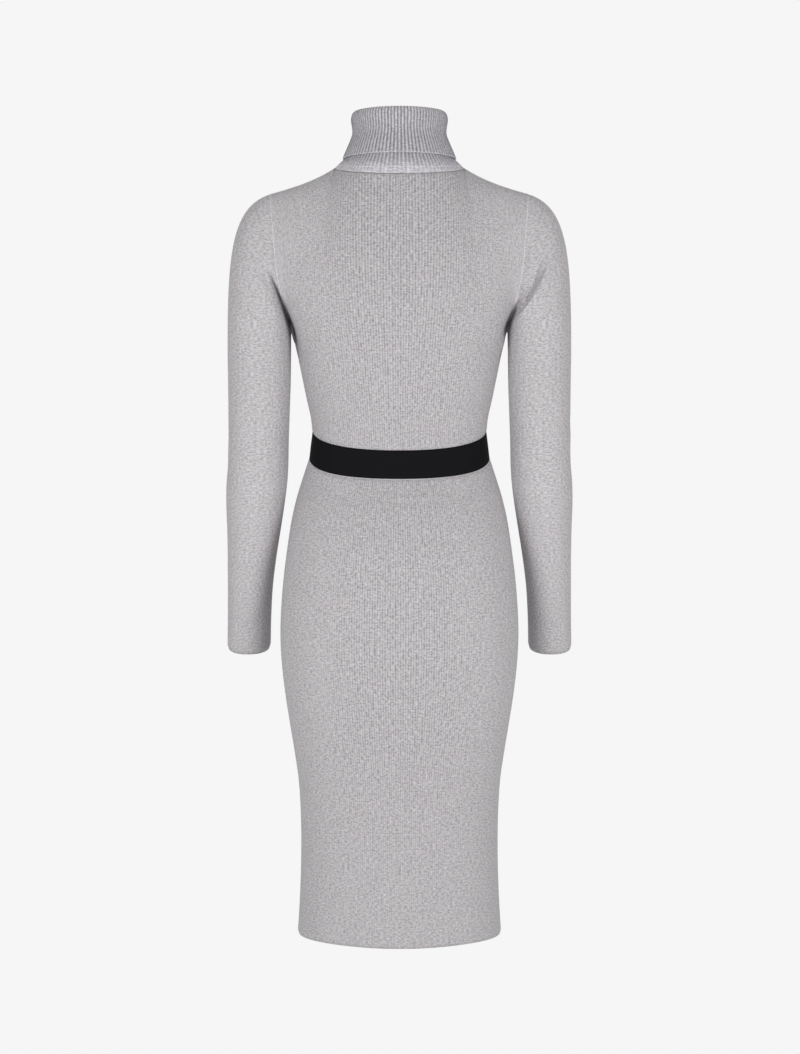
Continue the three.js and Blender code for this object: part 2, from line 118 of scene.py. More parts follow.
ARM = table("z x y wide deep", [
    (-262, 199.5, 4, 45.0, 49), (-300, 199.4, 7, 44.4, 48), (-345, 199.9, 10, 43.4, 46.5),
    (-385, 200.5, 12, 42.7, 46), (-415, 201.2, 11, 42.8, 46), (-440, 203.3, 7, 43.2, 45.5),
    (-470, 205.9, -1, 41.7, 44), (-505, 208.6, -12, 38.6, 41), (-545, 212.2, -25, 35.3, 38),
    (-590, 215.8, -38, 32.6, 35), (-635, 218.1, -52, 31.5, 33.2), (-684, 219.8, -65, 31.4, 32.5),
])
CAP = dict(
    out=57, out_power=0.8, round=14, fall=17, fall_beside=11, lift=8, lift_at_shoulder=142, lift_power=1.4,
)
hem_depth = (SKIRT["back"][-1] + SKIRT["front"][-1]) / 2
print("hem round, about:", round(math.pi * (SKIRT["wide"][-1] + hem_depth)), "mm")

# %% [markdown]
# A smooth value between a table's rows comes from Hermite's cubic, with the slope at each row taken
# from its two neighbours. NumPy works on whole arrays at once, so one call gives a column of cloth.

# %% Smooth rows
def row_at(rows, key, value):
    """The table's row at a value of its key column, as smooth columns of the value's shape."""
    knots, value = rows[key], np.asarray(value, float)
    down = np.sign(knots[1] - knots[0])
    i = np.clip(np.searchsorted(knots * down, value * down, side="right") - 1, 0, len(knots) - 2)
    span = knots[i + 1] - knots[i]
    t = (value - knots[i]) / span
    before, after = np.maximum(i - 1, 0), np.minimum(i + 2, len(knots) - 1)
    result = {}
    for name, column in rows.items():
        m0 = (column[i + 1] - column[before]) / (knots[i + 1] - knots[before]) * span
        m1 = (column[after] - column[i]) / (knots[after] - knots[i]) * span
        rise = column[i + 1] - column[i]
        result[name] = column[i] + t * m0 + t**2 * (3 * rise - 2 * m0 - m1) + t**3 * (m0 + m1 - 2 * rise)
    return result


def points(x, y, z):
    return np.stack(np.broadcast_arrays(x, y, z), axis=-1).astype(float)


def bezier(p0, p1, p2, p3, t):
    t = np.asarray(t)[..., None]
    return (1 - t) ** 3 * p0 + 3 * t * (1 - t) ** 2 * p1 + 3 * t**2 * (1 - t) * p2 + t**3 * p3


def lerp(a, b, t):
    return a + (b - a) * t


def lengths_along(grid, axis):
    steps = np.linalg.norm(np.diff(grid, axis=axis), axis=-1)
    zero = np.zeros_like(np.take(steps, [0], axis=axis))
    return np.cumsum(np.concatenate([zero, steps], axis=axis), axis=axis)


# %% [markdown]
# ## The panels
# Below the armpits a panel is half of a level ring, from one side seam to the other. Above them it
# is a yoke: lines climb from the armpit level over the shoulder blade, or up the chest, and end on
# the neckline and the shoulder seam. Near the armhole they are drawn to its seam.

# %% Level sections
BACK = dict(
    sign=1, depth="back", x="back_x", y="back_y", neck_z=NECK["back"], power=1.0, climb=85,
    centre_reach=17, centre_fall=62, shoulder_reach=62,
)
FRONT = dict(
    sign=-1, depth="front", x="front_x", y="front_y", neck_z=NECK["front"], power=NECK["scoop"], climb=60,
    centre_reach=16, centre_fall=50, shoulder_reach=52,
)


def section_point(rows, panel, s):
    angle = s * math.pi / 2
    power = 2 / SECTION_POWER
    across = np.sign(s) * np.abs(np.sin(angle)) ** power
    deep = np.clip(np.cos(angle), 0, 1) ** power
    return points(rows["wide"] * across, panel["sign"] * rows[panel["depth"]] * deep, rows["z"])


def waist_fall(y):
    return WAIST_TILT * y + WAIST_BOW * y * y


def level_grid(rows, z, panel, tilt, lift, s):
    """Rows at heights z with the columns s, lowered by tilt's share of the fall, lifted at the sides."""
    grid = section_point(row_at(rows, "z", z[:, None] + 0 * s), panel, s)
    beside = np.exp(-((grid[..., 1] / LIFT_REACH) ** 2))
    grid[..., 2] += lift[:, None] * beside - tilt[:, None] * waist_fall(grid[..., 1])
    return grid


# %% Yoke
def top_edge(panel, s):
    """The panel's top: the neckline out to the neck point, then the shoulder seam."""
    out = np.abs(s)
    angle = np.clip(s / NECK_POINT, -1, 1) * math.pi / 2
    middle = np.clip(np.cos(angle), 0, 1)
    height = NECK["side"] + (panel["neck_z"] - NECK["side"]) * middle ** panel["power"]
    neckline = points(NECK["wide"] * np.sin(angle), panel["sign"] * NECK["deep"] * middle, height)
    q = np.clip((out - NECK_POINT) / (1 - NECK_POINT), 0, 1)
    fall = lerp(1 - (1 - q) ** SHOULDER["ease"], q, SHOULDER["steady"])
    height = lerp(NECK["side"], SHOULDER["tip_z"], fall)
    shoulder = points(np.sign(s) * lerp(NECK["wide"], SHOULDER["tip_x"], q), 0, height)
    return np.where((out <= NECK_POINT)[..., None], neckline, shoulder)


def armhole_point(panel, side, up):
    rows = row_at(ARMHOLE, "up", up)
    return points(side * rows[panel["x"]], panel["sign"] * rows[panel["y"]], rows["z"])


def climbing_point(panel, s, up):
    start = section_point(row_at(TORSO, "z", ARMPIT_Z + 0 * s), panel, s)
    below = section_point(row_at(TORSO, "z", ARMPIT_Z - 1 + 0 * s), panel, s)
    end = top_edge(panel, s)
    q = np.minimum(np.abs(s) / NECK_POINT, 1) ** 2
    reach = lerp(panel["centre_reach"], panel["shoulder_reach"], q)
    fall = lerp(panel["centre_fall"], 0, q)
    handle = end + points(0, panel["sign"] * reach, -fall)
    return bezier(start, start + (start - below) * panel["climb"], handle, end, up)


EDGE_PULL = 5  # how close to the armhole the columns are drawn to its seam


def yoke_point(panel, s, up):
    s, up = np.broadcast_arrays(s, up)
    side = np.where(s < 0, -1.0, 1.0)
    pull = armhole_point(panel, side, up) - climbing_point(panel, side, up)
    return climbing_point(panel, s, up) + pull * (np.abs(s) ** EDGE_PULL)[..., None]


# %% [markdown]
# The ribs run with the cloth's columns, so a panel is divided into so many columns a rib, evenly
# spread over its width. Rows are spaced evenly too, close enough to follow the curves.

# %% Panels as grids of points
RIBS = dict(bodice=114, skirt=134, sleeve=84, collar=92)  # across one panel, or round one tube
COLUMNS_A_RIB = 4
HIP_Z = -620.0
MEASURED_COLUMNS = 4001  # of the ring along which the columns are spaced
BODICE_ROWS, YOKE_ROWS, SKIRT_ROWS, SLEEVE_ROWS = 30, 64, 112, 132


def columns(ribs):
    """Columns at even distances along the round of the hips, from side seam to side seam."""
    s = np.linspace(-1, 1, MEASURED_COLUMNS)
    ring = section_point(row_at(SKIRT, "z", HIP_Z + 0 * s), BACK, s)
    along = lengths_along(ring, 0)
    return np.interp(np.linspace(0, along[-1], ribs * COLUMNS_A_RIB + 1), along, s)


def bodice_grid(panel):
    s = columns(RIBS["bodice"])
    z = np.linspace(TORSO["z"][-1], ARMPIT_Z, BODICE_ROWS, endpoint=False)
    low = (ARMPIT_Z - z) / (ARMPIT_Z - TORSO["z"][-1])
    up = np.linspace(0, 1, YOKE_ROWS)
    torso = level_grid(TORSO, z, panel, TILT_AT_BAND_TOP * low**2, LIFT_AT_BAND_TOP * low**2, s)
    return np.concatenate([torso, yoke_point(panel, s[None, :], up[:, None])])


def skirt_grid(panel):
    s = columns(RIBS["skirt"])
    z = np.linspace(SKIRT["z"][-1], SKIRT["z"][0], SKIRT_ROWS)
    high = np.clip((z - SKIRT_TILT_END_Z) / (SKIRT["z"][0] - SKIRT_TILT_END_Z), 0, 1)
    grid = level_grid(SKIRT, z, panel, TILT_AT_BAND_BOTTOM * high**2, LIFT_AT_BAND_BOTTOM * high**2, s)
    if panel is BACK:
        near_hem = np.clip(1 - (z - SKIRT["z"][-1]) / HEM_DIP_TALL, 0, 1) ** 2
        middle = np.cos(grid[..., 0] / SKIRT["wide"][-1] * math.pi / 2) ** 2
        grid[..., 2] -= HEM_DIP * near_hem[:, None] * middle
    return grid


grids = {
    "bodice_back": bodice_grid(BACK),
    "bodice_front": bodice_grid(FRONT),
    "skirt_back": skirt_grid(BACK),
    "skirt_front": skirt_grid(FRONT),
}
for name, grid in grids.items():
    print(name, grid.shape[:2], "rows and columns")

# %% [markdown]
# ## The sleeves
# A set-in sleeve is one tube. Its cap starts on the armhole seam and turns over the shoulder, the
# rest follows the arm: level rings that lean as the forearm swings forward. Round the arm the
# columns start at the outer side and go by the back, so that they meet the seam's own points.

# %% Sleeve as a grid
CAP_SHARE, CAP_CLOSER = 0.43, 1.5  # of the sleeve's rows, and how much closer they are at the seam
LEAN_EASE = 40  # millimetres below the cap until the rings lean with the arm
SEAM_GAP = 0.12


def square(value):
    return np.sign(value) * np.abs(value) ** (2 / ARM_POWER)


def arm_point(rows, lean, side, angle):
    across, deep = rows["wide"] * square(np.cos(angle)), rows["deep"] * square(np.sin(angle))
    return points(side * (rows["x"] + across), rows["y"] + deep, rows["z"] - lean * deep)


def cap_point(side, angle, t):
    """From the armhole seam, t = 0, to the arm's first ring, t = 1."""
    up, behind = np.abs(1 - angle / math.pi), (angle <= math.pi)[:, None]
    high, turn = (1 + np.cos(angle)) / 2, np.sin(angle)
    start = np.where(behind, armhole_point(BACK, side, up), armhole_point(FRONT, side, up))
    start = start + points(side * SEAM_GAP * (1 - high), 0, 0)
    fall = CAP["fall"] + CAP["fall_beside"] * np.abs(turn)
    out = points(side * CAP["out"] * high ** CAP["out_power"], CAP["round"] * turn, -fall)
    end = arm_point(row_at(ARM, "z", ARM["z"][0] + 0 * angle), 0, side, angle)
    lift = points(0, 0, CAP["lift"] + CAP["lift_at_shoulder"] * high ** CAP["lift_power"])
    return bezier(start, start + out, end + lift, end, t)


def sleeve_grid(side):
    count = RIBS["sleeve"] * COLUMNS_A_RIB
    angle = 2 * math.pi * np.arange(count) / count
    cap_rows = round(SLEEVE_ROWS * CAP_SHARE)
    t = np.linspace(0, 1, cap_rows, endpoint=False)[:, None] ** CAP_CLOSER
    z = np.linspace(ARM["z"][0], ARM["z"][-1], SLEEVE_ROWS - cap_rows)[:, None]
    step, ease_in = 1.0, np.clip((ARM["z"][0] - z) / LEAN_EASE, 0, 1)
    lean = (row_at(ARM, "z", z + step)["y"] - row_at(ARM, "z", z - step)["y"]) / (2 * step)
    arm = arm_point(row_at(ARM, "z", z + 0 * angle), lean * ease_in, side, angle)
    return np.concatenate([cap_point(side, angle, t + 0 * angle), arm])


grids["sleeve_left"] = sleeve_grid(1)
grids["sleeve_right"] = sleeve_grid(-1)
print("sleeve", grids["sleeve_left"].shape[:2])

# %% [markdown]
# ## Creases
# A fitted knit has few folds. The deepest run up from the armpits, where the hanging arm pushes the
# cloth together, and soft ones cross the inside of the elbow and the small of the back. Each is a
# row here: where it starts and ends in the view from behind or in front, how wide and how deep it
# is, and how much it bends. A crease is a trough with a low ridge beside it, and dies out at its ends.

# %% Creases placed one by one
CREASES = {
    "sleeve_left": table("facing x0 z0 x1 z1 wide deep bend", [
        (1, 200, -128, 160, -204, 8, 2.6, -3), (1, 168, -236, 226, -205, 11, 2.0, -5),
        (1, 206, -92, 192, -140, 9, 1.0, 3), (1, 236, -372, 196, -398, 11, 1.6, 4),
        (1, 168, -404, 214, -430, 12, 2.0, -5), (1, 206, -560, 240, -586, 9, 1.1, 3),
        (1, 190, -632, 226, -650, 8, 1.0, -3),
        (-1, 163, -208, 212, -120, 12, 4.5, 7), (-1, 166, -238, 222, -192, 12, 3.0, -6),
        (-1, 180, -392, 222, -412, 11, 3.4, 4), (-1, 172, -424, 232, -440, 12, 2.4, -4),
        (-1, 176, -366, 216, -376, 10, 1.8, 3), (-1, 196, -604, 236, -622, 9, 1.2, 3),
    ]),
    "sleeve_right": table("facing x0 z0 x1 z1 wide deep bend", [
        (1, 208, -122, 161, -204, 4.2, 8.5, 4), (1, 170, -240, 220, -214, 12, 1.8, 5),
        (1, 214, -96, 198, -136, 9, 1.0, -4), (1, 240, -350, 200, -380, 12, 1.5, -4),
        (1, 170, -412, 220, -426, 11, 2.1, 4), (1, 200, -540, 238, -556, 10, 1.2, -3),
        (-1, 164, -206, 206, -126, 12, 4.2, -6), (-1, 168, -234, 226, -200, 11, 2.8, 6),
        (-1, 178, -398, 226, -406, 11, 3.2, -4), (-1, 176, -430, 228, -450, 12, 2.2, 4),
        (-1, 182, -370, 220, -384, 9, 1.7, -3), (-1, 200, -622, 234, -636, 9, 1.1, -3),
    ]),
    "bodice_back": table("facing x0 z0 x1 z1 wide deep bend", [
        (1, 151, -262, 118, -232, 11, 1.6, 4), (1, -150, -266, -112, -240, 12, 1.5, -4),
        (1, 118, -352, 62, -374, 12, 1.3, 4), (1, -116, -346, -48, -370, 13, 1.2, -5),
        (1, 160, -150, 128, -118, 14, 1.0, -4), (1, -162, -146, -132, -108, 14, 1.0, 5),
    ]),
    "bodice_front": table("facing x0 z0 x1 z1 wide deep bend", [
        (1, 152, -258, 112, -214, 12, 2.0, 5), (1, -151, -262, -116, -222, 12, 1.9, -4),
        (1, 122, -340, 72, -328, 13, 1.4, 4), (1, -120, -344, -66, -334, 13, 1.3, -5),
        (1, 158, -120, 122, -92, 13, 1.2, 4), (1, -156, -124, -118, -88, 13, 1.3, -4),
    ]),
    "skirt_back": table("facing x0 z0 x1 z1 wide deep bend", [
        (1, 128, -430, 60, -470, 13, 1.2, -5), (1, -126, -434, -70, -464, 13, 1.1, 4),
        (1, 120, -742, 20, -770, 16, 1.2, 6), (1, -112, -752, -24, -776, 16, 1.1, -5),
    ]),
    "skirt_front": table("facing x0 z0 x1 z1 wide deep bend", [
        (1, 150, -470, 40, -498, 15, 1.5, 7), (1, -148, -476, -52, -506, 15, 1.4, -6),
        (1, 132, -548, 36, -560, 16, 1.2, 6), (1, -128, -556, -30, -570, 16, 1.2, -5),
    ]),
}
RIDGE_BESIDE, RIDGE_SHARE = 1.7, 0.4  # how far beside the trough, in its widths, and how high
FULL_MIDDLE, END_FADE = 0.35, 3.2  # the share of a crease at full depth, and how fast its ends fade


def crease_depth(grid, folds, facing, mirror):
    """How far in each point is pressed, by the creases that lie on its side of the piece."""
    x, z = grid[..., 0] * mirror, grid[..., 2]
    depth = np.zeros(x.shape)
    for n in range(len(folds["wide"])):
        fold = {name: column[n] for name, column in folds.items()}
        run = np.array([fold["x1"] - fold["x0"], fold["z1"] - fold["z0"]])
        length = np.hypot(*run)
        along = ((x - fold["x0"]) * run[0] + (z - fold["z0"]) * run[1]) / length**2
        beside = ((z - fold["z0"]) * run[0] - (x - fold["x0"]) * run[1]) / length
        beside = beside - fold["bend"] * (1 - (2 * along - 1) ** 2)
        from_middle = np.abs(2 * along - 1)
        fade = np.exp(-np.clip(from_middle - FULL_MIDDLE, 0, None) ** 2 * END_FADE)
        trough = np.exp(-((beside / fold["wide"]) ** 2))
        ridge = np.exp(-((beside / fold["wide"] - RIDGE_BESIDE) ** 2))
        depth += fold["deep"] * fade * (trough - RIDGE_SHARE * ridge) * (facing * fold["facing"] > 0)
    return depth


# %% [markdown]
# Right at the armpit the hanging arm folds the seam itself inwards, and on the wearer's left it is
# a deep dark fold. Both pieces that meet there, and the stitches between them, are pressed towards
# the middle of the body by the same rule, so that the seam stays closed.

# %% Folds at the armpits
ARMPIT_FOLDS = table("side facing x0 z0 x1 z1 wide deep", [
    (1, 1, 185, -138, 155, -216, 2.7, 34), (-1, 1, 182, -158, 155, -214, 3.0, 20),
    (1, -1, 180, -150, 153, -214, 5.4, 7.5), (-1, -1, 182, -140, 153, -212, 5.4, 6.5),
])
SIDE_SOFTNESS = 9.0  # half of the strip at the side where a fold changes from back to front
NARROW, WIDENS, WIDEST = 0.5, 1.0, 1.5  # a fold's width at its top, its growth and its limit, in widths
PAST_END_FADE = 6


def press_armpits(place):
    """The same points with the folds at the armpits pressed in."""
    place = place.copy()
    turn = np.tanh(place[..., 1] / SIDE_SOFTNESS)
    for n in range(len(ARMPIT_FOLDS["wide"])):
        fold = {name: column[n] for name, column in ARMPIT_FOLDS.items()}
        run = np.array([fold["x1"] - fold["x0"], fold["z1"] - fold["z0"]])
        x, z = place[..., 0] * fold["side"] - fold["x0"], place[..., 2] - fold["z0"]
        along = (x * run[0] + z * run[1]) / (run**2).sum()
        wide = fold["wide"] * np.clip(NARROW + along * WIDENS, NARROW, WIDEST)
        away = (z * run[0] - x * run[1]) / np.hypot(*run) / wide
        grow = np.clip(along, 0, 1) * np.exp(-np.clip(along - 1, 0, None) ** 2 * PAST_END_FADE)
        place[..., 1] -= turn * fold["deep"] * grow * np.exp(-(away**2)) * (turn * fold["facing"] > 0)
    return place


# %% [markdown]
# ## From a grid of points to a wall of cloth
# A knit is a couple of millimetres thick. The outer grid is copied inwards along its normals, with
# one column a rib, because nobody sees fine ribs inside, and the two sheets are joined at the
# edges, which are rounded as a knitted edge is. The wall keeps three attributes for the node tree
# and the yarn: which rib and course a point belongs to, and how far the ribs may stand there.

# %% Normals and seams
def directions(grid, axis, round_tube):
    if round_tube and axis == 1:
        return np.roll(grid, -1, 1) - np.roll(grid, 1, 1)
    return np.gradient(grid, axis=axis, edge_order=2)


def normals(grid, round_tube, outward):
    n = np.cross(directions(grid, 1, round_tube), directions(grid, 0, round_tube))
    return outward * n / np.linalg.norm(n, axis=-1, keepdims=True)


def open_seams(grid, round_tube):
    """Each edge moves in by half a seam gap, so that two pieces never share a line."""
    grid = grid.copy()
    edges = [((0,), (1,)), ((-1,), (-2,))]
    if not round_tube:
        edges += [((slice(None), 0), (slice(None), 1)), ((slice(None), -1), (slice(None), -2))]
    for edge, inner in edges:
        away = grid[inner] - grid[edge]
        grid[edge] += away / np.linalg.norm(away, axis=-1, keepdims=True) * SEAM_GAP / 2
    return grid


# %% Wall of cloth
SEAM_ROUND, HEM_ROUND = 0.22, 0.35  # share of the wall's thickness taken off each side at an edge


def edge_rounding(shape, round_tube, hem):
    taken = np.zeros(shape)
    taken[[0, -1]] = SEAM_ROUND
    if not round_tube:
        taken[:, [0, -1]] = SEAM_ROUND
    if hem is not None:
        taken[hem] = HEM_ROUND
    return taken


def wall_mesh(name, grid, wall, round_tube, outward, hem, raised):
    """A closed wall round a grid of outer points, with the attributes rib, course and raised."""
    rows, count = grid.shape[:2]
    inner_at = np.arange(0, count, COLUMNS_A_RIB)
    m = len(inner_at)
    normal = normals(grid, round_tube, outward)
    grid = open_seams(grid, round_tube)
    taken = edge_rounding((rows, count), round_tube, hem)[..., None]
    outer = grid - normal * wall * taken
    inside = (grid - normal * wall * (1 - taken))[:, inner_at]
    rib = np.broadcast_to(np.arange(count) / COLUMNS_A_RIB, (rows, count))
    course = lengths_along(grid, 0)
    if hem == -1:
        course = course[-1] - course
    # raised sets how deep the ribs are sunk and, in the knit finish, how much painted shade their troughs
    # take.
    depth = np.where(taken[..., 0] > 0, 0, raised)
    faces = []
    if round_tube:
        verts = np.concatenate([outer.reshape(-1, 3), inside.reshape(-1, 3)])
        base = rows * count
        faces += sheet_faces(0, rows, count, True, False)
        faces += sheet_faces(base, rows, m, True, True)
        faces += bridge(0, base, count, m, True, False)
        faces += bridge((rows - 1) * count, base + (rows - 1) * m, count, m, True, True)
        values = [np.concatenate([a.ravel(), a[:, inner_at].ravel()]) for a in (rib, course)]
        deep = np.concatenate([depth.ravel(), np.zeros(rows * m)])
    else:
        width = count + m
        verts = np.concatenate([outer, inside[:, ::-1]], axis=1).reshape(-1, 3)
        faces += sheet_faces(0, rows, width, True, False)
        faces += bridge(0, count, count, m, False, False, flip=width)
        top = (rows - 1) * width
        faces += bridge(top, top + count, count, m, False, True, flip=width)
        values = [np.concatenate([a, a[:, inner_at][:, ::-1]], axis=1).ravel() for a in (rib, course)]
        deep = np.concatenate([depth, np.zeros((rows, m))], axis=1).ravel()
    mesh = bpy.data.meshes.new(name)
    mesh.from_pydata((verts * MM).tolist(), [], faces)
    for key, data in zip(("rib", "course", "raised"), (*values, deep)):
        mesh.attributes.new(key, "FLOAT", "POINT").data.foreach_set("value", data.astype(np.float32))
    return mesh


def sheet_faces(base, rows, width, closed, turned):
    j = np.arange(rows - 1)[:, None] * width
    i = np.arange(width if closed else width - 1)[None, :]
    k = (i + 1) % width
    quads = np.stack([base + j + i, base + j + k, base + j + width + k, base + j + width + i], axis=-1)
    quads = quads.reshape(-1, 4)
    return (quads[:, ::-1] if turned else quads).tolist()


def bridge(a, b, count_a, count_b, closed, turned, flip=0):
    """Faces between an edge of the outer sheet and the coarser edge of the inner one."""
    faces, i, j = [], 0, 0
    last_a, last_b = (count_a, count_b) if closed else (count_a - 1, count_b - 1)

    def inner(n):
        return b + count_b - 1 - n if flip else b + n % count_b

    while i < last_a or j < last_b:
        if j >= last_b or (i < last_a and (i + 1) / last_a <= (j + 1) / last_b):
            face = (a + i, inner(j), a + (i + 1) % count_a)
            i += 1
        else:
            face = (a + i % count_a, inner(j), inner(j + 1))
            j += 1
        faces.append(face[::-1] if turned else face)
    return faces


# %% [markdown]
# ## Ribs, by Geometry Nodes
# What repeats along the cloth is made by a node tree. Each point knows its rib, so a cosine of it
# is a row of rounded ribs. The tree sinks the troughs between the ribs along the surface's normal,
# a little unevenly, as hand and yarn make them, and leaves the edges alone.

# %% Node helpers
def group_socket(tree, name, kind, default=None, out=False):
    made = tree.interface.new_socket(name, in_out="OUTPUT" if out else "INPUT", socket_type=kind)
    if default is not None:
        made.default_value = default
    return made


def node(tree, kind, inputs=(), **settings):
    """A node with its settings, and its inputs given as values or as sockets to link."""
    made = tree.nodes.new(kind)
    for key, value in settings.items():
        setattr(made, key, value)
    for key, value in dict(inputs).items():
        socket = made.inputs[key]
        if isinstance(value, bpy.types.NodeSocket):
            tree.links.new(value, socket)
        else:
            socket.default_value = value
    return made


def math_node(tree, operation, *values):
    return node(tree, "ShaderNodeMath", dict(enumerate(values)), operation=operation).outputs[0]


# %% Rib tree
UNEVEN_SCALE = 55.0  # how many times a metre the ribs' depth changes


def rib_tree():
    tree = bpy.data.node_groups.new("ribs_of_the_knit", "GeometryNodeTree")
    group_socket(tree, "Geometry", "NodeSocketGeometry")
    group_socket(tree, "Rib depth", "NodeSocketFloat", 0.0008)
    group_socket(tree, "Roundness", "NodeSocketFloat", 1.6)
    group_socket(tree, "Unevenness", "NodeSocketFloat", 0.3)
    group_socket(tree, "Seed", "NodeSocketFloat", 1.0)
    group_socket(tree, "Finish", "NodeSocketMaterial")
    group_socket(tree, "Geometry", "NodeSocketGeometry", out=True)
    given = node(tree, "NodeGroupInput").outputs
    result = node(tree, "NodeGroupOutput")

    def named(key):
        return node(tree, "GeometryNodeInputNamedAttribute", {"Name": key}, data_type="FLOAT").outputs[0]

    wave = math_node(tree, "COSINE", math_node(tree, "MULTIPLY", named("rib"), 2 * math.pi))
    trough = math_node(tree, "MULTIPLY", math_node(tree, "SUBTRACT", 1.0, wave), 0.5)
    trough = math_node(tree, "POWER", trough, given["Roundness"])
    position = node(tree, "GeometryNodeInputPosition").outputs[0]
    uneven = node(tree, "ShaderNodeTexNoise", {
        "Vector": position, "W": given["Seed"], "Scale": UNEVEN_SCALE, "Detail": 2.0,
    }, noise_dimensions="4D").outputs[0]
    swing = math_node(tree, "MULTIPLY", math_node(tree, "SUBTRACT", uneven, 0.5), given["Unevenness"])
    amount = math_node(tree, "MULTIPLY", trough, math_node(tree, "ADD", swing, 1.0))
    amount = math_node(tree, "MULTIPLY", amount, named("raised"))
    amount = math_node(tree, "MULTIPLY", amount, math_node(tree, "MULTIPLY", given["Rib depth"], -1.0))
    normal = node(tree, "GeometryNodeInputNormal").outputs[0]
    offset = node(tree, "ShaderNodeVectorMath", {0: normal}, operation="SCALE")
    tree.links.new(amount, offset.inputs["Scale"])
    moved = node(tree, "GeometryNodeSetPosition", {
        "Geometry": given["Geometry"], "Offset": offset.outputs[0],
    })
    smooth = node(tree, "GeometryNodeSetShadeSmooth", {"Geometry": moved.outputs[0]})
    real = node(tree, "GeometryNodeRealizeInstances", {"Geometry": smooth.outputs[0]})
    dressed = node(tree, "GeometryNodeSetMaterial", {
        "Geometry": real.outputs[0], "Material": given["Finish"],
    })
    tree.links.new(dressed.outputs[0], result.inputs["Geometry"])
    return tree


RIB_TREE = rib_tree()
print("rib tree:", len(RIB_TREE.nodes), "nodes")


# %% Applying a tree
def apply_tree(piece, tree, **values):
    """Runs a node tree on a piece with named inputs, and keeps the result as a plain mesh."""
    modifier = piece.modifiers.new(tree.name, "NODES")
    modifier.node_group = tree
    for item in tree.interface.items_tree:
        key = item.name.lower().replace(" ", "_")
        if item.in_out == "INPUT" and key in values:
            modifier[item.identifier] = values[key]
    evaluated = piece.evaluated_get(bpy.context.evaluated_depsgraph_get())
    mesh = bpy.data.meshes.new_from_object(evaluated)
    piece.modifiers.remove(modifier)
    piece.data = mesh
    return piece


def new_object(name, mesh):
    piece = bpy.data.objects.new(name, mesh)
    bpy.context.scene.collection.objects.link(piece)
    return piece


# %% [markdown]
# ## The yarn
# The dress is knitted from a grey melange yarn: light and dark fibres are spun together, so the
# colour breaks into small flecks that run along the courses. Three shader groups serve all the knit
# pieces. One gives the flecks, one the height of the V-shaped stitches, and one a painted shade in
# the troughs between the ribs, where little light falls in, which darkens the colour there. They
# read the piece's own UV map, in metres of cloth, so the pattern follows the surface and never slides.

# %% Fleck group
BROAD_LONGER, BROAD_TALLER, BROAD_SHARE = 7.0, 9.0, 0.07  # soft clouds among the fine flecks
FLECK_FROM, FLECK_TO = 0.33, 0.67  # the noise's values that give the darkest and lightest yarn


def fleck_group():
    tree = bpy.data.node_groups.new("melange_flecks", "ShaderNodeTree")
    group_socket(tree, "Cloth", "NodeSocketVector")
    group_socket(tree, "Fleck length", "NodeSocketFloat", 0.0046)
    group_socket(tree, "Fleck height", "NodeSocketFloat", 0.0023)
    group_socket(tree, "Light", "NodeSocketColor", (0.6, 0.6, 0.6, 1))
    group_socket(tree, "Middle", "NodeSocketColor", (0.5, 0.5, 0.5, 1))
    group_socket(tree, "Dark", "NodeSocketColor", (0.35, 0.35, 0.35, 1))
    group_socket(tree, "Color", "NodeSocketColor", out=True)
    given = node(tree, "NodeGroupInput").outputs
    result = node(tree, "NodeGroupOutput")
    split = node(tree, "ShaderNodeSeparateXYZ", {0: given["Cloth"]}).outputs

    def stretched(length, height, detail):
        across = math_node(tree, "DIVIDE", split[0], length)
        along = math_node(tree, "DIVIDE", split[1], height)
        place = node(tree, "ShaderNodeCombineXYZ", {0: across, 1: along}).outputs[0]
        return node(tree, "ShaderNodeTexNoise", {
            "Vector": place, "Scale": 1.0, "Detail": detail, "Roughness": 0.6,
        }, noise_dimensions="2D").outputs[0]

    fine = stretched(given["Fleck length"], given["Fleck height"], 3.0)
    broad = stretched(
        math_node(tree, "MULTIPLY", given["Fleck length"], BROAD_LONGER),
        math_node(tree, "MULTIPLY", given["Fleck height"], BROAD_TALLER), 2.0,
    )
    shares = ((fine, 1 - BROAD_SHARE), (broad, BROAD_SHARE))
    both = math_node(tree, "ADD", *[math_node(tree, "MULTIPLY", *pair) for pair in shares])
    ramp = node(tree, "ShaderNodeMapRange", {0: both, 1: FLECK_FROM, 2: FLECK_TO}).outputs[0]
    darker = node(tree, "ShaderNodeMapRange", {0: ramp, 1: 0.0, 2: 0.5}).outputs[0]
    lighter = node(tree, "ShaderNodeMapRange", {0: ramp, 1: 0.5, 2: 1.0}).outputs[0]
    low = node(tree, "ShaderNodeMix", {0: darker, 6: given["Dark"], 7: given["Middle"]}, data_type="RGBA")
    high = node(tree, "ShaderNodeMix", {0: lighter, 6: low.outputs[2], 7: given["Light"]}, data_type="RGBA")
    tree.links.new(high.outputs[2], result.inputs["Color"])
    return tree


# %% Stitch group
LEG_SLANT, PARTING_STEEPNESS = 1.3, 6.0  # of the V's legs, and of the line between two legs


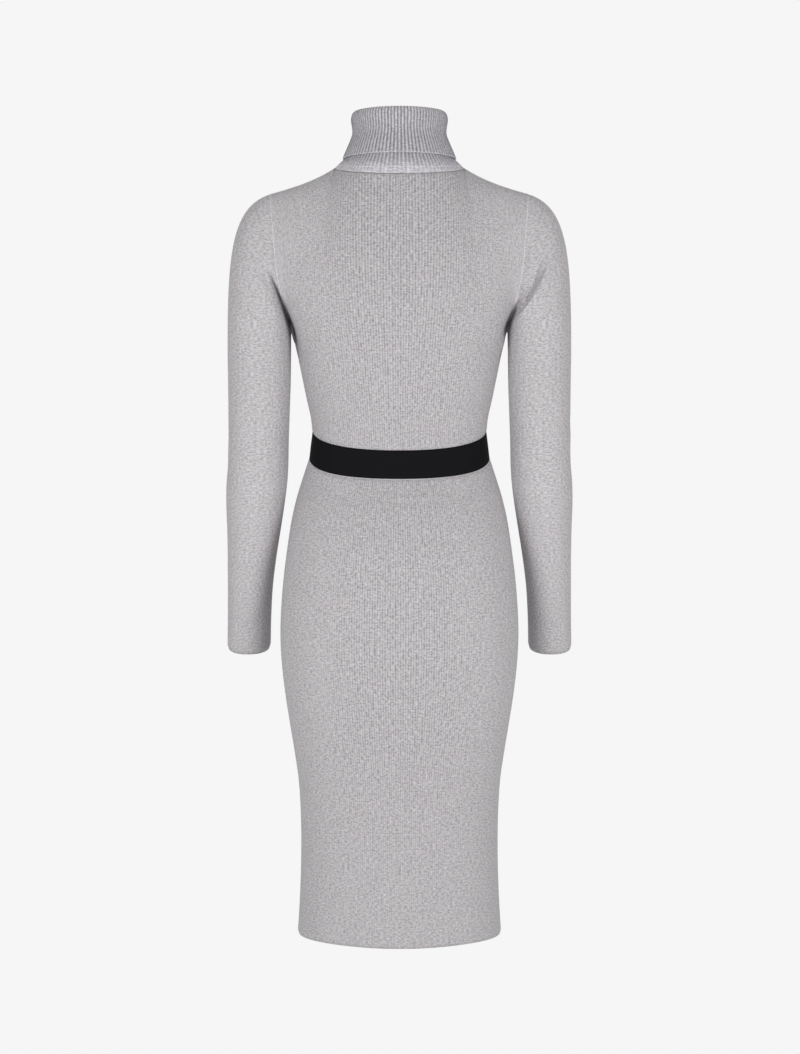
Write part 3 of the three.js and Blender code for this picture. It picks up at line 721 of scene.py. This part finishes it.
def stitch_group():
    tree = bpy.data.node_groups.new("knit_stitches", "ShaderNodeTree")
    group_socket(tree, "Cloth", "NodeSocketVector")
    group_socket(tree, "Wale", "NodeSocketFloat", 0.0037)
    group_socket(tree, "Course", "NodeSocketFloat", 0.0016)
    group_socket(tree, "Height", "NodeSocketFloat", out=True)
    given = node(tree, "NodeGroupInput").outputs
    result = node(tree, "NodeGroupOutput")
    split = node(tree, "ShaderNodeSeparateXYZ", {0: given["Cloth"]}).outputs
    wale = math_node(tree, "DIVIDE", split[0], given["Wale"])
    wale = math_node(tree, "FRACT", math_node(tree, "ADD", wale, 0.5))
    leg = math_node(tree, "ABSOLUTE", math_node(tree, "SUBTRACT", wale, 0.5))
    slant = math_node(tree, "MULTIPLY", leg, LEG_SLANT)
    course = math_node(tree, "ADD", math_node(tree, "DIVIDE", split[1], given["Course"]), slant)
    loop = math_node(tree, "SINE", math_node(tree, "MULTIPLY", course, 2 * math.pi))
    parting = math_node(tree, "MINIMUM", math_node(tree, "MULTIPLY", leg, PARTING_STEEPNESS), 1.0)
    height = math_node(tree, "MULTIPLY", math_node(tree, "ADD", loop, 1.0), parting)
    tree.links.new(math_node(tree, "MULTIPLY", height, 0.5), result.inputs["Height"])
    return tree


# %% Rib shade group
STREAK = 0.008  # how far down the cloth a rib looks alike, in metres
STREAK_FROM, STREAK_TO = 0.36, 0.64  # the noise's values that give the faintest and deepest trough


# Painted shade: how much the colour is darkened in the troughs between the ribs, for the light that hardly
# falls in.
def shade_group():
    tree = bpy.data.node_groups.new("shade_between_ribs", "ShaderNodeTree")
    group_socket(tree, "Cloth", "NodeSocketVector")
    group_socket(tree, "Wale", "NodeSocketFloat", 0.0037)
    group_socket(tree, "Raised", "NodeSocketFloat", 1.0)
    group_socket(tree, "Strength", "NodeSocketFloat", 0.5)
    group_socket(tree, "Streaks", "NodeSocketFloat", 1.0)
    group_socket(tree, "Shade", "NodeSocketFloat", out=True)
    given = node(tree, "NodeGroupInput").outputs
    result = node(tree, "NodeGroupOutput")
    across, down, _ = node(tree, "ShaderNodeSeparateXYZ", {0: given["Cloth"]}).outputs
    wale = math_node(tree, "DIVIDE", across, given["Wale"])
    wave = math_node(tree, "COSINE", math_node(tree, "MULTIPLY", wale, 2 * math.pi))
    trough = math_node(tree, "MULTIPLY", math_node(tree, "SUBTRACT", 1.0, wave), 0.5)
    streak = node(tree, "ShaderNodeCombineXYZ", {
        0: wale, 1: math_node(tree, "DIVIDE", down, STREAK),
    }).outputs[0]
    uneven = node(tree, "ShaderNodeTexNoise", {
        "Vector": streak, "Scale": 0.9, "Detail": 3.0, "Roughness": 0.65,
    }, noise_dimensions="2D").outputs[0]
    uneven = node(tree, "ShaderNodeMapRange", {
        0: uneven, 1: STREAK_FROM, 2: STREAK_TO, 3: -1.0, 4: 1.0,
    }).outputs[0]
    uneven = math_node(tree, "MULTIPLY_ADD", uneven, given["Streaks"], 1.0)
    shade = math_node(tree, "MULTIPLY", math_node(tree, "MULTIPLY", trough, uneven), given["Raised"])
    shade = math_node(tree, "MULTIPLY", shade, given["Strength"])
    tree.links.new(shade, result.inputs["Shade"])
    return tree


FLECKS, STITCHES, RIB_SHADE = fleck_group(), stitch_group(), shade_group()


def srgb(r, g, b):
    """A colour as a screen shows it, 0 to 255, in the linear values that Blender works in."""
    values = [v / 255 for v in (r, g, b)]
    linear = [v / 12.92 if v <= 0.04045 else ((v + 0.055) / 1.055) ** 2.4 for v in values]
    return (*linear, 1.0)


# %% Knit finish
COURSE, STITCH_HEIGHT, STITCH_BUMP = 0.0016, 0.0004, 0.4


def knit_material(name, light, middle, dark, wale, shade, streaks):
    material = bpy.data.materials.new(name)
    material.use_nodes = True
    tree = material.node_tree
    tree.nodes.clear()
    result = node(tree, "ShaderNodeOutputMaterial")
    shader = node(tree, "ShaderNodeBsdfPrincipled", {
        "Roughness": 0.92, "Specular IOR Level": 0.2, "Sheen Weight": 0.12, "Sheen Roughness": 0.5,
        "Sheen Tint": srgb(235, 232, 236),
    })
    cloth = node(tree, "ShaderNodeUVMap", uv_map="cloth").outputs[0]
    raised = node(tree, "ShaderNodeAttribute", attribute_name="raised").outputs["Fac"]
    flecks = node(tree, "ShaderNodeGroup", node_tree=FLECKS)
    stitches = node(tree, "ShaderNodeGroup", node_tree=STITCHES)
    troughs = node(tree, "ShaderNodeGroup", node_tree=RIB_SHADE)
    for group in (flecks, stitches, troughs):
        tree.links.new(cloth, group.inputs["Cloth"])
    for key, value in (("Light", light), ("Middle", middle), ("Dark", dark)):
        flecks.inputs[key].default_value = value
    stitches.inputs["Wale"].default_value = wale
    stitches.inputs["Course"].default_value = COURSE
    troughs.inputs["Wale"].default_value = wale
    troughs.inputs["Strength"].default_value = shade
    troughs.inputs["Streaks"].default_value = streaks
    tree.links.new(raised, troughs.inputs["Raised"])
    # Painted shade in the troughs: the flecks' colour is mixed towards the dark trough colour by the rib
    # shade.
    colour = node(tree, "ShaderNodeMix", {
        0: troughs.outputs[0], 6: flecks.outputs[0], 7: PAINTED_TROUGH_SHADE,
    }, data_type="RGBA").outputs[2]
    relief = node(tree, "ShaderNodeBump", {
        "Height": stitches.outputs[0], "Strength": STITCH_BUMP, "Distance": STITCH_HEIGHT,
    })
    tree.links.new(colour, shader.inputs["Base Color"])
    tree.links.new(relief.outputs[0], shader.inputs["Normal"])
    tree.links.new(shader.outputs[0], result.inputs["Surface"])
    return material


PITCH = dict(bodice=0.0037, skirt=0.0034, sleeve=0.0035, collar=0.0043)
# How strongly each kind's troughs are painted darker, a painted shade.
SHADE = dict(bodice=0.42, skirt=0.42, sleeve=0.3, collar=0.7)
STREAKS = dict(bodice=0.6, skirt=0.7, sleeve=0.7, collar=0.12)
GREYS = [srgb(201, 198, 201), srgb(183, 180, 182), srgb(157, 154, 157)]
GREYS_ON_COLLAR = [srgb(213, 210, 215), srgb(195, 192, 197), srgb(170, 167, 172)]  # the same yarn painted lighter, to balance the collar's deeper painted shade between the ribs
# The colour of the painted shade at the bottom of a trough between ribs.
PAINTED_TROUGH_SHADE = srgb(92, 90, 94)
FINISH = {}
for kind in PITCH:
    greys = GREYS_ON_COLLAR if kind == "collar" else GREYS
    FINISH[kind] = knit_material(kind + "_rib_knit", *greys, PITCH[kind], SHADE[kind], STREAKS[kind])
print("finishes:", [material.name for material in FINISH.values()])


# %% [markdown]
# ## Knitting the pieces
# Where the body stretches the cloth, over the back and the hips, the ribs open and their troughs
# show, sunk deeper and with more painted shade in them. Where it hangs more loosely, at the sides, on
# the sleeves and near the hem, they close up and only the melange is left. How far the ribs are raised
# at each point follows that, and so does how much painted shade their troughs take.

# %% Where the ribs open
STRETCHED_HALF = 105  # how far out from the centre line the cloth is stretched, in millimetres
OPEN = dict(middle=0.75, bodice_side=0.3, skirt_side=0.2, sleeve=0.22, blades=0.1, hem=0.35)
BLADES_Z, BLADES_TALL = -200, 140  # the ribs open further from here up, over the shoulder blades
LOOSE_Z, LOOSE_TALL = -1060, 260  # near the hem they close, below this height and the strip above it


def opened_ribs(name, grid):
    x, z = np.abs(grid[..., 0]), grid[..., 2]
    if name.startswith("sleeve"):
        return np.full(x.shape, OPEN["sleeve"])
    middle = np.exp(-((x / STRETCHED_HALF) ** 4))
    if name.startswith("bodice"):
        # Over the shoulder blades the ribs open further, so the upper back takes more painted shade.
        high = np.clip((z - BLADES_Z) / BLADES_TALL, 0, 1)
        return lerp(OPEN["bodice_side"], OPEN["middle"], middle) + OPEN["blades"] * middle * high
    above_hem = np.clip((z - LOOSE_Z) / LOOSE_TALL, 0, 1)
    return lerp(OPEN["skirt_side"], OPEN["middle"], middle) * lerp(OPEN["hem"], 1, above_hem)


def write_uv(mesh, pitch, round_ribs=0):
    """A UV map in metres of cloth: across from the ribs, along from the courses."""
    rib, course = np.empty(len(mesh.vertices)), np.empty(len(mesh.vertices))
    mesh.attributes["rib"].data.foreach_get("value", rib)
    mesh.attributes["course"].data.foreach_get("value", course)
    corner = np.empty(len(mesh.loops), int)
    mesh.loops.foreach_get("vertex_index", corner)
    across = rib[corner]
    if round_ribs:  # a face over the start of a tube runs on past its last rib
        start, total = np.empty(len(mesh.polygons), int), np.empty(len(mesh.polygons), int)
        mesh.polygons.foreach_get("loop_start", start)
        mesh.polygons.foreach_get("loop_total", total)
        widest = np.repeat(np.maximum.reduceat(across, start), total)
        across = np.where(widest - across > round_ribs / 2, across + round_ribs, across)
    uv = np.stack([across * pitch, course[corner] * MM], axis=1)
    mesh.uv_layers.new(name="cloth").data.foreach_set("uv", uv.ravel().astype(np.float32))


# %% Knit the panels and sleeves
KNIT_WALL = 1.8
RIB_DEPTH = dict(bodice=0.0007, skirt=0.0006, sleeve=0.0005, collar=0.0011)
ROLL_TALL, ROLL_IN = 5.0, 0.9  # a free edge rolls in over its last millimetres
FADE_ROWS, FADE_SIDES = 6, 12  # creases fade out over the last rows, and over a twelfth at the sides
pieces = {}


def roll_edge(grid, normal, hem):
    away = lengths_along(grid, 0)
    away = away if hem == 0 else away[-1] - away
    return grid - normal * (ROLL_IN * np.clip(1 - away / ROLL_TALL, 0, 1) ** 2)[..., None]


def knit(name, grid, side, facing, outward, hem, seed):
    tube, kind = name.startswith("sleeve"), name.split("_")[0]
    depth = crease_depth(grid, CREASES[name], facing, side)
    normal = normals(grid, tube, outward)
    rows = np.arange(grid.shape[0])
    ends = np.clip(np.minimum(rows, rows[::-1]) / FADE_ROWS, 0, 1)[:, None]
    across = np.linspace(-1, 1, grid.shape[1])
    sides = 1 if tube else np.clip((1 - np.abs(across)) * FADE_SIDES, 0, 1)
    grid = press_armpits(grid - normal * (depth * ends * sides)[..., None])
    if hem is not None:
        grid = roll_edge(grid, normal, hem)
    mesh = wall_mesh(name, grid, KNIT_WALL, tube, outward, hem, opened_ribs(name, grid))
    write_uv(mesh, PITCH[kind], RIBS[kind] if tube else 0)
    return apply_tree(
        new_object("knit_" + name, mesh), RIB_TREE, rib_depth=RIB_DEPTH[kind], roundness=1.6,
        unevenness=0.5, seed=float(seed), finish=FINISH[kind],
    )


for seed, (name, grid) in enumerate(grids.items()):
    side = -1 if name == "sleeve_right" else 1
    if name.startswith("sleeve"):
        facing, outward = np.sign(grid[..., 1] - np.interp(-grid[..., 2], -ARM["z"], ARM["y"])), -side
    else:
        facing, outward = 1, -1 if name.endswith("back") else 1
    hem = {"sleeve": -1, "skirt": 0}.get(name.split("_")[0])
    pieces[name] = knit(name, grid, side, facing, outward, hem, seed)
    print(name, len(pieces[name].data.polygons), "faces")

# %% [markdown]
# ## The roll neck
# The collar is a wider rib, knitted as one strip and turned down on itself: a stand that flares
# onto the shoulders, a soft fold, and an outer layer whose edge lies on the stand. Its section is a
# closed path, given by a few rings. A spline through them is swept round the neck.

# %% Collar section
COLLAR_DEPTH, COLLAR_LEAN = 0.87, -2.0
COLLAR_WALL = 1.6
# The ribs column says how far the ribs stand in each ring, and so how much painted shade their troughs take.
COLLAR = table("z wide rise drop ribs", [
    (11, 82, -6, 30, 0.3), (20, 72.5, 0, 15, 0.5), (36, 66.4, 2, 12, 1), (54, 60.4, 3, 11, 1),
    (69, 60.8, 3.5, 11, 1), (78.4, 60.6, 3.5, 11, 1), (83.3, 63.1, 3.5, 11, 0.8), (81, 66.0, 3.5, 11, 0.9),
    (73.6, 67.8, 3.5, 11, 1), (64, 66.4, 3.5, 11, 1), (54, 65.8, 3.5, 11, 1), (43, 69.4, 4, 11, 1),
    (31, 74.6, 4, 11, 1), (20, 79.3, 4, 11, 1), (18, 80.2, 4, 11, 0.2), (18, 78.0, 4, 11, 0),
    (36, 70.2, 4, 11, 0.5), (54, 63.7, 3.5, 11, 0.5), (75.2, 64.6, 3.5, 11, 0.5), (72.4, 63.2, 3.5, 11, 0.5),
    (54, 62.4, 3, 11, 0.6), (36, 68.6, 2, 11, 0.8), (20, 75.2, 0, 14, 1.0), (12.5, 83.6, -5, 28, 0.7),
])
COLLAR_COLUMNS = 6  # a rib


def collar_ring(row, angle):
    behind, before = np.clip(np.sin(angle), 0, 1), np.clip(-np.sin(angle), 0, 1)
    height = row["z"] + row["rise"] * behind - row["drop"] * before ** NECK["scoop"]
    return points(
        row["wide"] * np.cos(angle), COLLAR_LEAN + row["wide"] * COLLAR_DEPTH * np.sin(angle), height,
    )


def neckline(angle):
    middle = np.abs(np.sin(angle))
    back = NECK["side"] + (NECK["back"] - NECK["side"]) * middle
    front = NECK["side"] + (NECK["front"] - NECK["side"]) * middle ** NECK["scoop"]
    height = np.where(np.sin(angle) >= 0, back, front) + SEAM_GAP
    return points(NECK["wide"] * np.cos(angle), NECK["deep"] * np.sin(angle), height)


# %% Collar mesh
def spline_rows(key_rows, per_span):
    """Rows between the key rows of a path, on a centripetal spline, so that tight turns stay tight."""
    made = []
    for n in range(len(key_rows) - 1):
        p0, p1, p2, p3 = (key_rows[min(max(n + k, 0), len(key_rows) - 1)] for k in (-1, 0, 1, 2))
        spans = ((p0, p1), (p1, p2), (p2, p3))
        gap = [max(np.linalg.norm(b - a, axis=-1).mean(), 1e-6) ** 0.5 for a, b in spans]
        m1 = (p2 - p1) + gap[1] * ((p1 - p0) / gap[0] - (p2 - p0) / (gap[0] + gap[1]))
        m2 = (p2 - p1) + gap[1] * ((p3 - p2) / gap[2] - (p3 - p1) / (gap[1] + gap[2]))
        for t in np.arange(per_span) / per_span:
            h = (2 * t**3 - 3 * t**2 + 1, t**3 - 2 * t**2 + t, -2 * t**3 + 3 * t**2, t**3 - t**2)
            made.append(h[0] * p1 + h[1] * m1 + h[2] * p2 + h[3] * m2)
    made.append(key_rows[-1])
    return made


count = RIBS["collar"] * COLLAR_COLUMNS
angle = 2 * math.pi * np.arange(count) / count
foot = neckline(angle)
inward = -foot * [1, 1, 0] / np.linalg.norm(foot * [1, 1, 0], axis=1, keepdims=True)
key_rows = [foot + inward * COLLAR_WALL]
key_rows += [
    collar_ring({name: column[n] for name, column in COLLAR.items()}, angle)
    for n in range(len(COLLAR["z"]))
]
key_rows.append(foot)
ROWS_A_SPAN = 3
loop = np.array(spline_rows(key_rows, ROWS_A_SPAN))
rows = len(loop)
faces = sheet_faces(0, rows, count, True, False)
last = (rows - 1) * count
faces += [(last + i, last + (i + 1) % count, (i + 1) % count, i) for i in range(count)]
mesh = bpy.data.meshes.new("collar")
mesh.from_pydata((loop.reshape(-1, 3) * MM).tolist(), [], faces)
rib = np.broadcast_to(np.arange(count) / COLLAR_COLUMNS, (rows, count))
at_key_rows = np.concatenate([[0], COLLAR["ribs"], [0]])
raised = np.interp(np.arange(rows) / ROWS_A_SPAN, np.arange(len(key_rows)), at_key_rows)
raised = np.broadcast_to(raised[:, None], (rows, count))
for key, data in (("rib", rib), ("course", lengths_along(loop, 0)), ("raised", raised)):
    mesh.attributes.new(key, "FLOAT", "POINT").data.foreach_set("value", data.ravel().astype(np.float32))
write_uv(mesh, PITCH["collar"], RIBS["collar"])
pieces["collar"] = new_object("knit_collar", mesh)
apply_tree(
    pieces["collar"], RIB_TREE, rib_depth=RIB_DEPTH["collar"], roundness=1.3, unevenness=0.4,
    seed=11.0, finish=FINISH["collar"],
)
print("collar", len(pieces["collar"].data.polygons), "faces")

# %% [markdown]
# ## The waistband
# A black woven elastic is let in at the waist, flush with the knit. Elastic of this kind shows fine
# level cords and a matt surface that throws back hardly any light.

# %% Elastic finish and band
CORD, WARP = 0.0012, 0.0009  # from one cord or thread to the next
GRAIN = 900.0  # how many times a metre the black changes


def elastic_material():
    material = bpy.data.materials.new("black_elastic")
    material.use_nodes = True
    tree = material.node_tree
    shader = tree.nodes["Principled BSDF"]
    for key, value in (("Roughness", 0.8), ("Specular IOR Level", 0.08)):
        shader.inputs[key].default_value = value
    cloth = node(tree, "ShaderNodeUVMap", uv_map="cloth").outputs[0]
    split = node(tree, "ShaderNodeSeparateXYZ", {0: cloth}).outputs
    cords = math_node(tree, "SINE", math_node(tree, "MULTIPLY", split[1], 2 * math.pi / CORD))
    warp = math_node(tree, "SINE", math_node(tree, "MULTIPLY", split[0], 2 * math.pi / WARP))
    weave = math_node(tree, "ADD", cords, math_node(tree, "MULTIPLY", warp, 0.5))
    relief = node(tree, "ShaderNodeBump", {"Height": weave, "Strength": 0.35, "Distance": 0.0002})
    tree.links.new(relief.outputs[0], shader.inputs["Normal"])
    noise = node(tree, "ShaderNodeTexNoise", {"Vector": cloth, "Scale": GRAIN, "Detail": 2.0}).outputs[0]
    colour = node(tree, "ShaderNodeMix", {
        0: noise, 6: srgb(9, 9, 11), 7: srgb(25, 25, 28),
    }, data_type="RGBA").outputs[2]
    tree.links.new(colour, shader.inputs["Base Color"])
    return material


BAND_WALL, BAND_ROWS, BAND_RIBS, BAND_PITCH = 2.2, 18, 60, 0.0113
half = np.linspace(-1, 1, BAND_RIBS * COLUMNS_A_RIB // 2 + 1)
z = np.linspace(WAISTBAND["z"][-1], WAISTBAND["z"][0], BAND_ROWS)
low = (WAISTBAND["z"][0] - z) / (WAISTBAND["z"][0] - WAISTBAND["z"][-1])
tilt = lerp(TILT_AT_BAND_TOP, TILT_AT_BAND_BOTTOM, low)
lift = lerp(LIFT_AT_BAND_TOP, LIFT_AT_BAND_BOTTOM, low)
behind = level_grid(WAISTBAND, z, BACK, tilt, lift, half[::-1])
before = level_grid(WAISTBAND, z, FRONT, tilt, lift, half)
ring = np.concatenate([behind, before[:, 1:-1]], axis=1)
mesh = wall_mesh("waistband", ring, BAND_WALL, True, 1, None, 0.0)
write_uv(mesh, BAND_PITCH, BAND_RIBS)
pieces["waistband"] = new_object("elastic_waistband", mesh)
mesh.materials.append(elastic_material())
mesh.shade_smooth()
print("waistband", len(mesh.polygons), "faces")

# %% [markdown]
# ## The seams
# The pieces are linked edge to edge with the same yarn, and the stitches show as a fine light line:
# their yarn is painted lighter than the knit, a painted highlight on the raised stitches.
# A line of points runs along each seam. A node tree spaces the stitches evenly along it, lays each
# one along the line and flat on the cloth, and makes every one a little different.

# %% Stitch tree
def stitch_tree():
    tree = bpy.data.node_groups.new("stitches_along_a_seam", "GeometryNodeTree")
    group_socket(tree, "Geometry", "NodeSocketGeometry")
    group_socket(tree, "Spacing", "NodeSocketFloat", 0.0022)
    group_socket(tree, "Length", "NodeSocketFloat", 0.0011)
    group_socket(tree, "Width", "NodeSocketFloat", 0.0005)
    group_socket(tree, "Height", "NodeSocketFloat", 0.0004)
    group_socket(tree, "Unevenness", "NodeSocketFloat", 0.15)
    group_socket(tree, "Seed", "NodeSocketInt", 1)
    group_socket(tree, "Finish", "NodeSocketMaterial")
    group_socket(tree, "Geometry", "NodeSocketGeometry", out=True)
    given = node(tree, "NodeGroupInput").outputs
    result = node(tree, "NodeGroupOutput")
    line = node(tree, "GeometryNodeMeshToCurve", {"Mesh": given["Geometry"]})
    even = node(tree, "GeometryNodeResampleCurve", {
        "Curve": line.outputs[0], "Length": given["Spacing"],
    }, mode="LENGTH")
    out = node(tree, "GeometryNodeInputNamedAttribute", {"Name": "out"}, data_type="FLOAT_VECTOR")
    flat = node(tree, "FunctionNodeAlignRotationToVector", {"Vector": out.outputs[0]}, axis="Z")
    turned = node(tree, "FunctionNodeAlignRotationToVector", {
        "Rotation": flat.outputs[0], "Vector": node(tree, "GeometryNodeInputTangent").outputs[0],
    }, axis="X", pivot_axis="Z")
    size = node(tree, "ShaderNodeCombineXYZ", {0: given["Length"], 1: given["Width"], 2: given["Height"]})
    least = math_node(tree, "SUBTRACT", 1.0, given["Unevenness"])
    most = math_node(tree, "ADD", 1.0, given["Unevenness"])
    uneven = node(tree, "FunctionNodeRandomValue", {
        2: least, 3: most, "Seed": given["Seed"],
    }, data_type="FLOAT").outputs[1]
    size = node(tree, "ShaderNodeVectorMath", {0: size.outputs[0], "Scale": uneven}, operation="SCALE")
    stitch = node(tree, "GeometryNodeMeshIcoSphere", {"Radius": 1.0, "Subdivisions": 2})
    laid = node(tree, "GeometryNodeInstanceOnPoints", {
        "Points": even.outputs[0], "Instance": stitch.outputs[0], "Rotation": turned.outputs[0],
        "Scale": size.outputs[0],
    })
    real = node(tree, "GeometryNodeRealizeInstances", {"Geometry": laid.outputs[0]})
    smooth = node(tree, "GeometryNodeSetShadeSmooth", {"Geometry": real.outputs[0]})
    dressed = node(tree, "GeometryNodeSetMaterial", {
        "Geometry": smooth.outputs[0], "Material": given["Finish"],
    })
    tree.links.new(dressed.outputs[0], result.inputs["Geometry"])
    return tree


def yarn_material():
    material = bpy.data.materials.new("seam_yarn")
    material.use_nodes = True
    tree = material.node_tree
    shader = tree.nodes["Principled BSDF"]
    for key, value in (("Roughness", 0.9), ("Specular IOR Level", 0.2)):
        shader.inputs[key].default_value = value
    place = node(tree, "ShaderNodeTexCoord").outputs["Object"]
    noise = node(tree, "ShaderNodeTexNoise", {"Vector": place, "Scale": 500.0, "Detail": 1.0}).outputs[0]
    # Painted highlight: the same yarn as the knit, mixed lighter than its lightest grey.
    colour = node(tree, "ShaderNodeMix", {
        0: noise, 6: GREYS[0], 7: srgb(222, 220, 223),
    }, data_type="RGBA").outputs[2]
    tree.links.new(colour, shader.inputs["Base Color"])
    return material


STITCH_TREE, YARN = stitch_tree(), yarn_material()


# %% Stitches along the seams
def along_seam(name, line, out, seed, closed=False, **size):
    """A row of stitches on a line in millimetres, with the direction away from the cloth at each point."""
    line, out = np.array(line), np.array(out, float)
    count = len(line)
    edges = [(n, (n + 1) % count) for n in range(count if closed else count - 1)]
    mesh = bpy.data.meshes.new(name)
    mesh.from_pydata((line * MM).tolist(), edges, [])
    away = np.broadcast_to(out, line.shape).astype(np.float32)
    mesh.attributes.new("out", "FLOAT_VECTOR", "POINT").data.foreach_set("vector", away.ravel())
    return apply_tree(new_object(name, mesh), STITCH_TREE, seed=seed, finish=YARN, **size)


extras = {}
linking = loop[-ROWS_A_SPAN]  # on the stand, a finger's breadth above its foot
extras["neck"] = along_seam(
    "stitches_neck", linking, -inward * 0.7 + [0, 0, 0.7], 3, closed=True, spacing=0.0034,
    length=0.0013, width=0.0008, height=0.0007,
)
for name, side in (("left", 1), ("right", -1)):
    grid = grids["sleeve_" + name]
    line = press_armpits(grid)[0]
    away = normals(press_armpits(grid), True, -side)[0]
    extras["armhole_" + name] = along_seam(
        "stitches_armhole_" + name, line, away, 5 + side, closed=True, length=0.0012, width=0.0007,
        height=0.0006,
    )
    shoulder = top_edge(BACK, side * np.linspace(NECK_POINT + 0.01, 0.995, 40))
    extras["shoulder_" + name] = along_seam("stitches_shoulder_" + name, shoulder, (0, 0, 1), 9 + side)
    bodice = grids["bodice_back"][:BODICE_ROWS, -1 if side > 0 else 0]
    skirt = grids["skirt_back"][:, -1 if side > 0 else 0]
    extras["side_" + name] = along_seam("stitches_side_" + name, bodice, (side, 0, 0), 13 + side)
    extras["hip_" + name] = along_seam("stitches_hip_" + name, skirt, (side, 0, 0), 17 + side)
top = np.concatenate([grids["skirt_back"][-1, ::-1], grids["skirt_front"][-1, 1:-1]])
extras["waist"] = along_seam(
    "stitches_waist", top - [0, 0, 1], top * [1, 1, 0], 23, closed=True, width=0.0005,
)
for name, piece in extras.items():
    print(name, len(piece.data.polygons), "faces")

# %% [markdown]
# ## Floor and light
# The studio is white all round: a pale floor that turns up into a wall far behind. The camera sees
# it evenly white, as an overexposed backdrop is. The light comes from two large lamps behind the
# camera, one on each side, so that both sleeves and hips are lit from beside, from a weak one on the
# far side and one overhead, and softly from the white room.

# %% Backdrop
BACKDROP = srgb(246, 246, 246)
FLOOR_Z, FLOOR_RADIUS, WALL_HEIGHT, BEND = -1.42, 7.0, 6.0, 2.0
ROOM_GLOW = 0.44  # how much light the floor and walls give to the dress


def evenly_seen(tree, lit, output):
    """The camera sees the backdrop's own white, everything else the lit shader."""
    seen = node(tree, "ShaderNodeEmission", {"Color": BACKDROP, "Strength": 1.0}).outputs[0]
    camera_ray = node(tree, "ShaderNodeLightPath").outputs["Is Camera Ray"]
    both = node(tree, "ShaderNodeMixShader", {0: camera_ray, 1: lit, 2: seen})
    tree.links.new(both.outputs[0], output.inputs["Surface"])


bend = [
    (FLOOR_RADIUS - BEND + BEND * math.sin(a), BEND - BEND * math.cos(a))
    for a in np.linspace(0, math.pi / 2, 13)
]
profile = [*bend, (FLOOR_RADIUS, WALL_HEIGHT)]
TURNS = 64
verts = [(0, 0, FLOOR_Z)]
for radius, height in profile:
    for n in range(TURNS):
        a = 2 * math.pi * n / TURNS
        verts.append((radius * math.cos(a), radius * math.sin(a), FLOOR_Z + height))
faces = [(0, 1 + n, 1 + (n + 1) % TURNS) for n in range(TURNS)]
for level in range(len(profile) - 1):
    base = 1 + level * TURNS
    for n in range(TURNS):
        k = (n + 1) % TURNS
        faces.append((base + n, base + TURNS + n, base + TURNS + k, base + k))
mesh = bpy.data.meshes.new("floor")
mesh.from_pydata(verts, [], faces)
mesh.shade_smooth()
floor = new_object("floor", mesh)
paper = bpy.data.materials.new("studio_floor")
paper.use_nodes = True
tree = paper.node_tree
shader = tree.nodes["Principled BSDF"]
for key, value in (
    ("Base Color", srgb(160, 160, 160)), ("Roughness", 1.0), ("Specular IOR Level", 0.0),
    ("Emission Color", BACKDROP), ("Emission Strength", ROOM_GLOW),
):
    shader.inputs[key].default_value = value
evenly_seen(tree, shader.outputs[0], tree.nodes["Material Output"])
mesh.materials.append(paper)

# %% Sky and lamps
SKY = 0.2
world = bpy.data.worlds.new("studio")
world.use_nodes = True
tree = world.node_tree
sky = tree.nodes["Background"]
sky.inputs[0].default_value, sky.inputs[1].default_value = BACKDROP, SKY
evenly_seen(tree, sky.outputs[0], tree.nodes["World Output"])
bpy.context.scene.world = world
bpy.context.scene.view_settings.view_transform = "Standard"


LAMP_SPREAD = math.radians(50)  # a grid before the lamp keeps its light on the middle of the dress
LAMP_AIM = Vector((0, 0, -0.38))  # the waist


def area_lamp(name, place, size, power, spread=LAMP_SPREAD):
    data = bpy.data.lights.new(name, "AREA")
    data.shape, data.size, data.energy = "DISK", size, power
    data.spread = spread
    lamp = bpy.data.objects.new(name, data)
    lamp.location = place
    lamp.rotation_euler = (LAMP_AIM - Vector(place)).to_track_quat("-Z", "Y").to_euler()
    bpy.context.scene.collection.objects.link(lamp)


area_lamp("key_left", (2.4, 3.2, -0.45), 1.8, 6.9)
area_lamp("key_right", (-2.4, 3.2, -0.45), 1.8, 6.9)
area_lamp("fill", (0.0, -3.9, 0.3), 2.0, 8)
area_lamp("top", (0.0, -1.0, 2.2), 2.0, 20, spread=math.pi)

# %% [markdown]
# ## Fitting the pieces to the frame
# Each knitted piece stands for one solid, which is hidden, and rides on the root. All of it is cloth,
# so for each piece the size that it was cut or knitted to is printed beside the cloth it takes when
# worn. A tube's size is its cut laid open.

# %% Ride, replace and print the cut sizes
for name, piece in pieces.items():
    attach(piece, "root")
    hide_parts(name)
for piece in extras.values():
    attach(piece, "root")


def half_area(piece):
    """The cloth's area on one side: half of the closed wall's surface, in square metres."""
    area = np.empty(len(piece.data.polygons))
    piece.data.polygons.foreach_get("area", area)
    return area.sum() / 2


CUTS = {
    "bodice_back": (0.44, 0.42), "bodice_front": (0.46, 0.42), "skirt_back": (0.48, 0.70),
    "skirt_front": (0.46, 0.70), "sleeve_left": (0.36, 0.64), "sleeve_right": (0.36, 0.64),
    "collar": (0.50, 0.17), "waistband": (0.70, 0.042),
}
SHARES = {
    "bodice_back": 0.80, "bodice_front": 0.74, "skirt_back": 0.86, "skirt_front": 0.86,
    "sleeve_left": 0.72, "sleeve_right": 0.72, "collar": 0.92, "waistband": 0.98,
}
for name, piece in pieces.items():
    width, length = CUTS[name]
    area = width * length * SHARES[name]
    print(name, "cut", round(area, 4), "worn", round(half_area(piece), 4), "square metres")
